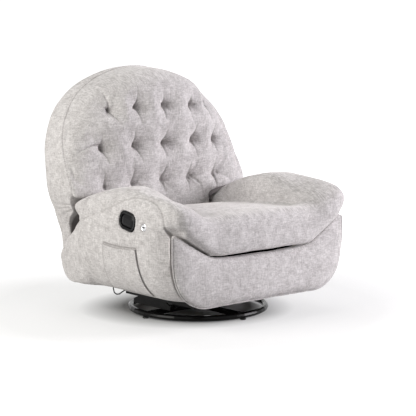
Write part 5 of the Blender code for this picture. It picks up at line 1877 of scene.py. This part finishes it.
    def build_cushion(self, look: bpy.types.Material) -> None:
        """Shape, tuft, inflate and hand over the cushion.

        Args:
            look: The cloth.
        """
        form = Form("back_pillow", [self.cushion_skin()])
        form.remesh(self.voxel)
        form.relax(2)
        self._swell(form)
        creases = [(form.cast(line), *sizes) for line, *sizes in self.creases()]
        points = form.points
        chosen = np.zeros(len(points), bool)
        for x, z in self.tufts():
            chosen |= (np.hypot(points[:, 0] - x, points[:, 2] - z) < 0.032) & (form.normals[:, 1] < 0.5)
        form.refine(chosen)
        form.refine_along([line for line, *_ in creases], 0.009)
        self._pits(form)
        # Each pleat and fold is pressed in with painted shade in its groove.
        for line, width, depth, shade in creases:
            form.press(line, width, depth, True, shade)
        form.ripple(0.0022, 13.0, 7.7)
        form.finish(Body.BACK, look, "back_cushion")

    def boxing_skin(self) -> tuple[np.ndarray, list]:
        """Skin the boxed cover behind the cushion.

        Returns:
            Points and faces of the closed skin.
        """
        rings = []
        for z in self.heights(self.shell_low, 34):
            full = 0.80 + 0.20 * float(bow(max(1 - (z - self.shell_low) / 0.05, 0.0), 2.0))
            half = self.half(z, self.shell_half, self.shell_flare) * full
            front = float(self.seam(z)) + self.gap
            if z < self.dome_z:
                front = float(np.interp(z, self.under_z, self.under_at))
            rise_share = float(ease((z - self.dome_z) / self.shell_rise))
            rear = self.shell_rear + (self.shell_top_rear - self.shell_rear) * rise_share
            rear -= self.shell_tuck * max(self.dome_z - z, 0.0)
            over = min(max(z - self.dome_z - self.radius + self.shell_roll, 0.0) / self.shell_roll, 1.0)
            room = max(rear - front - self.shell_edge, 0.0)
            rear = front + self.shell_edge + room * math.sqrt(1 - over * over)
            share = np.sin(np.pi / 2 * np.linspace(-1, 1, 97))
            depth = (rear - front - self.shell_edge) * full * bow(share, self.shell_power)
            face = np.stack([half * share, front + self.shell_edge + depth, np.full(97, z)], 1)
            across = half * np.linspace(1, -1, 97)
            filled = float(self.seam(z)) + self.gap - front
            filled *= float(ease((z - self.bottom - 0.004) / 0.02)) * (z < self.dome_z)
            behind = ease((self.cushion_half(z) - 0.0055 - np.abs(across)) / 0.010)
            close = np.stack([across, front + filled * behind, np.full(97, z)], 1)
            rings.append(np.concatenate([face, close]))
        return loft(rings)

    def outline(self, inset: float, low: float, lift: Callable[[float], float]) -> np.ndarray:
        """A line that follows the dome's outline.

        Args:
            inset: How far inside the outline.
            low: Height where both ends stop.
            lift: Depth of the line at a height.

        Returns:
            Points from the -X end over the top to the +X end.
        """
        straight = np.linspace(low, self.dome_z, 14, endpoint=False)
        round_top = self.dome_z + (self.radius - inset) * np.sin(np.linspace(0, math.pi / 2, 30))
        sides = []
        for z in np.concatenate([straight, round_top]):
            if z >= self.dome_z:
                half = math.sqrt(max((self.radius - inset) ** 2 - (z - self.dome_z) ** 2, 0.0))
            else:
                half = self.half(z, self.shell_half, self.shell_flare) - inset
            sides.append((half, lift(z), z))
        left = [(-x, y, z) for x, y, z in sides]
        return curve_through(left + sides[-2::-1], SEAM_STEP)

    def pucker_lines(self) -> list[np.ndarray]:
        """Draw the small folds where the boxing is drawn in beside the arms.

        Returns:
            Lines near the surface, on both sides.
        """
        lines = []
        for z, run, fall in self.puckers:
            for side in (-1, 1):
                x, y = side * self.pucker_x, self.pucker_y
                ends = [(x, y, z), (x, y + run * 0.5, z - fall * 0.4), (x, y + run, z - fall)]
                lines.append(curve_through(ends, SEAM_STEP))
        return lines

    def build_boxing(self, look: bpy.types.Material) -> None:
        """Shape, sew and hand over the boxed cover with its welt.

        Args:
            look: The cloth.
        """
        form = Form("back_boxing", [self.boxing_skin()])
        form.remesh(self.voxel)
        form.relax(3)
        form.ripple(0.0026, 9.0, 1.9)
        puckers = [form.snapped(line, 0.0) for line in self.pucker_lines()]
        rear = form.snapped(self.outline(0.055, 0.235, lambda z: 0.56), 0.0)
        form.refine_along([rear, *puckers], 0.013)
        # The rear seam and the puckers are pressed in, each with painted shade in its groove.
        form.press(rear, 0.0042, 0.0032, shade=0.4)
        for line in puckers:
            form.press(line, 0.0070, 0.0055, True, 0.12)
        # Painted shade on the front of the boxing under the cushion, in the gap below it.
        points, normals = form.points, form.normals
        under = ease((0.500 - points[:, 2]) / 0.02) * ease((-0.15 - normals[:, 1]) / 0.3)
        under *= ease((0.395 + 0.4 * np.maximum(points[:, 2] - 0.44, 0.0) - np.abs(points[:, 0])) / 0.02)
        form.mark(1.9 * under)
        stitches = [form.snapped(rear + (rear - rear.mean(0)) * 0.018, self.kit.lift)]
        form.finish(Body.BACK, look, "back_shell")
        self.kit.run("back_stitching", Trim.STITCH, stitches, Body.BACK)
        welt = self.outline(0.0050, 0.500, lambda z: float(self.seam(z)) - 0.0015)
        self.kit.run("back_welt", Trim.WELT, [welt], Body.BACK, 0.0088)


@dataclass
class Footrest:
    """The padded panel that folds out of the front, with a welt round its face."""

    kit: TrimKit
    half: float = 0.464
    bottom: float = 0.100
    corner: float = 0.190
    front: float = -0.460
    rear: float = -0.395
    high: float = 0.2890
    lip_half: float = 0.254
    slope: float = 0.60
    recess: float = 0.012
    sag: float = 0.005
    crown: float = 0.016
    power: float = 4.0
    top_power: float = 7.0
    taper: float = 0.034
    voxel: float = 0.005

    def top(self, x: float) -> float:
        """Upper edge of the panel, under the lip and the arm tips."""
        sag = self.sag * max(1 - (x / 0.25) ** 2, 0.0)
        return self.high - sag + float(rise(x, self.lip_half, self.slope))

    def low(self, x: float) -> float:
        """Lower edge of the panel, with its large corners."""
        run = max(x - self.half + self.corner, 0.0)
        return self.bottom + self.corner - math.sqrt(max(self.corner**2 - run**2, 0.0))

    def ring(self, share: float) -> np.ndarray:
        """Cross-section of the panel.

        Args:
            share: Where across it, as a share of its half width.

        Returns:
            Points of the ring.
        """
        x = np.full(72, self.half * share)
        drawn = 1.0 - 0.25 * abs(share) ** 26
        low, high = self.low(abs(self.half * share)), self.top(abs(self.half * share))
        front = self.front + self.crown * abs(share) ** 3
        u, v = superellipse(72, self.top_power, self.power)
        depth = (self.rear - front) * drawn
        y = self.rear - depth / 2 + u * depth / 2
        x = x - self.taper * math.copysign(share**8, share) * ease((y - self.front - 0.010) / 0.05)
        z = (low + high) / 2 + v * drawn * (high - low) / 2
        y = y + self.recess * ease((z - 0.15) / 0.13) * (self.rear - y) / (self.rear - self.front)
        return np.stack([x, y, z], 1)

    def welt_line(self) -> np.ndarray:
        """Draw the welt: down the -X end, along the lower edge and up the +X end.

        Returns:
            Points near the surface.
        """
        edge = []
        for share in np.sin(np.pi / 2 * np.linspace(-1, 1, 81)):
            x = (self.half - 0.0035) * share
            edge.append((x, self.front + 0.018 + self.crown * abs(share) ** 3, self.low(abs(x)) + 0.002))
        end_y = self.front + self.crown + 0.016
        left = [(-self.half, end_y, z) for z in np.linspace(0.402, 0.305, 6)]
        right = [(self.half, end_y, z) for z in np.linspace(0.305, 0.402, 6)]
        return curve_through([*left, *edge[1:-1], *right], SEAM_STEP)

    def build(self, look: bpy.types.Material) -> None:
        """Shape, inflate, sew and hand over the panel.

        Args:
            look: The cloth.
        """
        shares = np.sin(np.pi / 2 * np.linspace(-1, 1, 111))
        form = Form("footrest_cover", [loft([self.ring(share) for share in shares])])
        form.remesh(self.voxel)
        form.relax(3)
        rear = ease((form.points[:, 1] - self.rear + 0.022) / 0.012)
        form.inflate(rear, 1.2, 0.004, 0.006)
        form.relax(1)
        form.ripple(0.0020, 10.0, 5.3)
        welt = form.snapped(self.welt_line(), 0.0008)
        form.refine_along([welt], 0.012)
        # The welt's groove is pressed in with painted shade.
        form.press(welt, 0.0050, 0.0025, shade=0.4)
        form.finish(Body.OTTOMAN, look, "footrest_pad")
        self.kit.run("footrest_welt", Trim.WELT, [welt], Body.OTTOMAN, 0.0032)


@dataclass
class RockSprings:
    """The four coil springs that the rocking chair presses, each fixed below and above."""

    kit: TrimKit
    ends: tuple = ("front_left", "front_right", "rear_left", "rear_right")
    wire: float = 0.0026
    turns: float = 5.0
    steps: int = 120

    def build(self) -> None:
        """Wind each spring in its solid's place and tie its two ends."""
        for end in self.ends:
            low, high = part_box(f"rock_spring_{end}")
            middle = (low + high) / 2
            radius = (high.x - low.x) / 2 - self.wire
            turn = 2 * np.pi * self.turns * np.linspace(0, 1, self.steps + 1)
            rise_z = np.interp(turn / turn[-1], (0, 0.12, 0.88, 1), (0, 0.07, 0.93, 1))
            z = low.z + self.wire + rise_z * (high.z - low.z - 2 * self.wire)
            line = np.stack([middle.x + radius * np.cos(turn), middle.y + radius * np.sin(turn), z], 1)
            coil = self.kit.run(f"rock_coil_{end}", Trim.WIRE, [line - ORIGIN], Body.CARRIAGE, self.wire)
            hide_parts(f"rock_spring_{end}")
            foot, head = (middle.x, middle.y, low.z), (middle.x, middle.y, high.z)
            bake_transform(coil, Body.CARRIAGE.value, Body.CHAIR.value, foot, head)


@dataclass
class Hardware:
    """The frame's own solids, which keep their shapes and get their finishes."""

    parts: dict

    def dress(self, finishes: dict[Slot, bpy.types.Material]) -> None:
        """Give every solid that shows the finish of its slot.

        Args:
            finishes: Material of each slot.
        """
        slots = {part["node"]: part["material_slot"] for part in frame["record"]["subparts"]}
        for name, obj in self.parts.items():
            if obj.hide_render:
                continue
            look = finishes[Slot(slots[name])]
            if not obj.material_slots:
                obj.data.materials.append(look)
            for place in obj.material_slots:
                place.material = look
            LOG.info("%s: %s", name, look.name)


@dataclass(frozen=True)
class Lamp:
    """One soft square lamp: where it hangs, what it points at, its side, watts and colour."""

    name: str
    place: Point
    aim: Point
    size: float
    power: float
    tint: Colour

    def hang(self) -> None:
        """Hang the lamp and point it."""
        data = bpy.data.lights.new(self.name, "AREA")
        data.size = self.size
        data.energy = self.power
        data.color = self.tint
        obj = bpy.data.objects.new(self.name, data)
        obj.location = self.place
        obj.rotation_euler = (Vector(self.aim) - Vector(self.place)).to_track_quat("-Z", "Y").to_euler()
        bpy.context.scene.collection.objects.link(obj)


@dataclass
class Studio:
    """Pale floor, soft lamps and the camera of the photograph."""

    lamps: tuple = (
        Lamp("left", (-3.9, 0.5, 1.9), (0.0, 0.0, 0.45), 2.8, 160.0, (1.0, 0.985, 0.940)),
        Lamp("right", (3.5, -3.2, 1.7), (0.0, -0.1, 0.40), 2.4, 272.0, (0.985, 0.955, 1.0)),
        Lamp("top", (0.2, 1.7, 3.6), (0.0, 0.0, 0.4), 2.4, 28.0, (1.0, 1.0, 1.0)),
    )
    place: Point = (-4.873, -5.77455, 1.531)
    azimuth: float = math.radians(-40.52)
    pitch: float = math.radians(8.41)
    yaw: float = math.radians(-0.3155)
    focal: float = 1850.0
    frame_width: float = 416.0
    sensor: float = 36.0
    floor_half: float = 60.0
    ambient: float = 0.25
    glow: float = 0.51
    # Painted shadow: the floor's glow fades out between these distances from the chair's middle.
    painted_shadow_from: float = 0.26
    painted_shadow_to: float = 0.45
    bright_from: float = 0.80
    bright_to: float = 2.0

    def camera(self) -> None:
        """Stand the camera where the photograph was taken."""
        data = bpy.data.cameras.new("camera")
        data.sensor_width = self.sensor
        data.lens = self.focal / self.frame_width * self.sensor
        data.clip_end = 200.0
        obj = bpy.data.objects.new("camera", data)
        level = math.cos(self.pitch)
        east, north = -math.sin(self.azimuth), math.cos(self.azimuth)
        ahead = Vector((east * level, north * level, -math.sin(self.pitch)))
        ahead.rotate(Matrix.Rotation(self.yaw, 3, "Z"))
        obj.location = self.place
        obj.rotation_euler = ahead.to_track_quat("-Z", "Y").to_euler()
        bpy.context.scene.collection.objects.link(obj)
        bpy.context.scene.camera = obj

    def seen_directly(self, nodes: Nodes) -> Wire:
        """Tell which rays are seen.

        Args:
            nodes: Tree to work in.

        Returns:
            1 for rays from the camera and those that metal or glass sends on.
        """
        path = nodes.node("ShaderNodeLightPath").outputs
        rays = Wire(nodes, path["Is Camera Ray"]) + Wire(nodes, path["Is Glossy Ray"])
        return (rays + Wire(nodes, path["Is Transmission Ray"])).clamped()

    def floor(self) -> None:
        """Lay the floor: it glows white for rays that are seen, fading out near the chair's base as painted
        shadow, with the lamps' shadows kept.
        """
        half = self.floor_half
        mesh = bpy.data.meshes.new("floor")
        corners = [(-half, -half, 0), (half, -half, 0), (half, half, 0), (-half, half, 0)]
        mesh.from_pydata(corners, [], [(0, 1, 2, 3)])
        obj = bpy.data.objects.new("floor", mesh)
        bpy.context.scene.collection.objects.link(obj)
        paint = Paint("pale_floor")
        tone = paint.noise((0.8, 0.8, 0.8), 2.0)
        paint.put(Base_Color=paint.mix(tone, (0.46, 0.46, 0.46), (0.48, 0.48, 0.48)), Roughness=0.9)
        paint.put(Emission_Color=(1.0, 1.0, 1.0, 1.0), Specular_IOR_Level=0.0)
        length = {"operation": "LENGTH"}
        place = paint.node("ShaderNodeVectorMath", length, {0: paint.coords.outputs["Object"]})
        away = Wire(paint, place.outputs["Value"])
        far = ((away - self.bright_from) * (1 / (self.bright_to - self.bright_from))).clamped()
        # Painted shadow: no glow near the chair's base, rising to the full glow further out.
        near = ((away - self.painted_shadow_from) * (1 / (self.painted_shadow_to - self.painted_shadow_from))).clamped()
        shine = self.seen_directly(paint) * (near * self.glow + far * (1.0 - self.glow))
        glow = paint.node("ShaderNodeEmission", None, {"Strength": shine})
        both = paint.node("ShaderNodeAddShader", None, {0: paint.shader.outputs[0], 1: glow.outputs[0]})
        paint.plug(paint.tree.nodes["Material Output"].inputs[0], both.outputs[0])
        mesh.materials.append(paint.material)

    def build(self) -> None:
        """Set up the view, the light and the floor."""
        scene = bpy.context.scene
        scene.view_settings.view_transform = "Standard"
        world = bpy.data.worlds.new("studio")
        world.use_nodes = True
        scene.world = world
        nodes = Nodes(world.node_tree)
        sky = world.node_tree.nodes["Background"]
        sky.inputs["Color"].default_value = (1.0, 1.0, 1.0, 1.0)
        seen = self.seen_directly(nodes)
        nodes.plug(sky.inputs["Strength"], seen + (1.0 - seen) * self.ambient)
        for lamp in self.lamps:
            lamp.hang()
        self.floor()
        self.camera()


def main() -> None:
    """Build the covers and trims, dress the frame and set up the studio."""
    logging.basicConfig(level=logging.INFO, format="%(name)s: %(message)s")
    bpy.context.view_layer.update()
    cloth = Chenille().make()
    finishes = {
        Slot.CLOTH: cloth, Slot.STEEL: GlossSteel().make(), Slot.SPRING: BareSteel().make(),
        Slot.RUBBER: Rubber().make(), Slot.PLY: Plywood().make(), Slot.LINING: Lining().make(),
        Slot.PLASTIC: Plastic().make(), Slot.CHROME: Chrome().make(),
    }
    kit = TrimKit(Thread().make(), cloth, finishes[Slot.SPRING])
    arms = Arms()
    Studio().build()
    pocket = Pocket(arms, kit)
    cover = Upholstery(arms, Seat(), Lip(), kit)
    cover.build(cloth, pocket)
    PortFace(cover).build(finishes[Slot.CHROME])
    pocket.build(cloth)
    back = Back(kit)
    back.build_boxing(cloth)
    back.build_cushion(cloth)
    Footrest(kit).build(cloth)
    RockSprings(kit).build()
    Hardware(frame["nodes"]).dress(finishes)


if __name__ == "__main__":
    main()
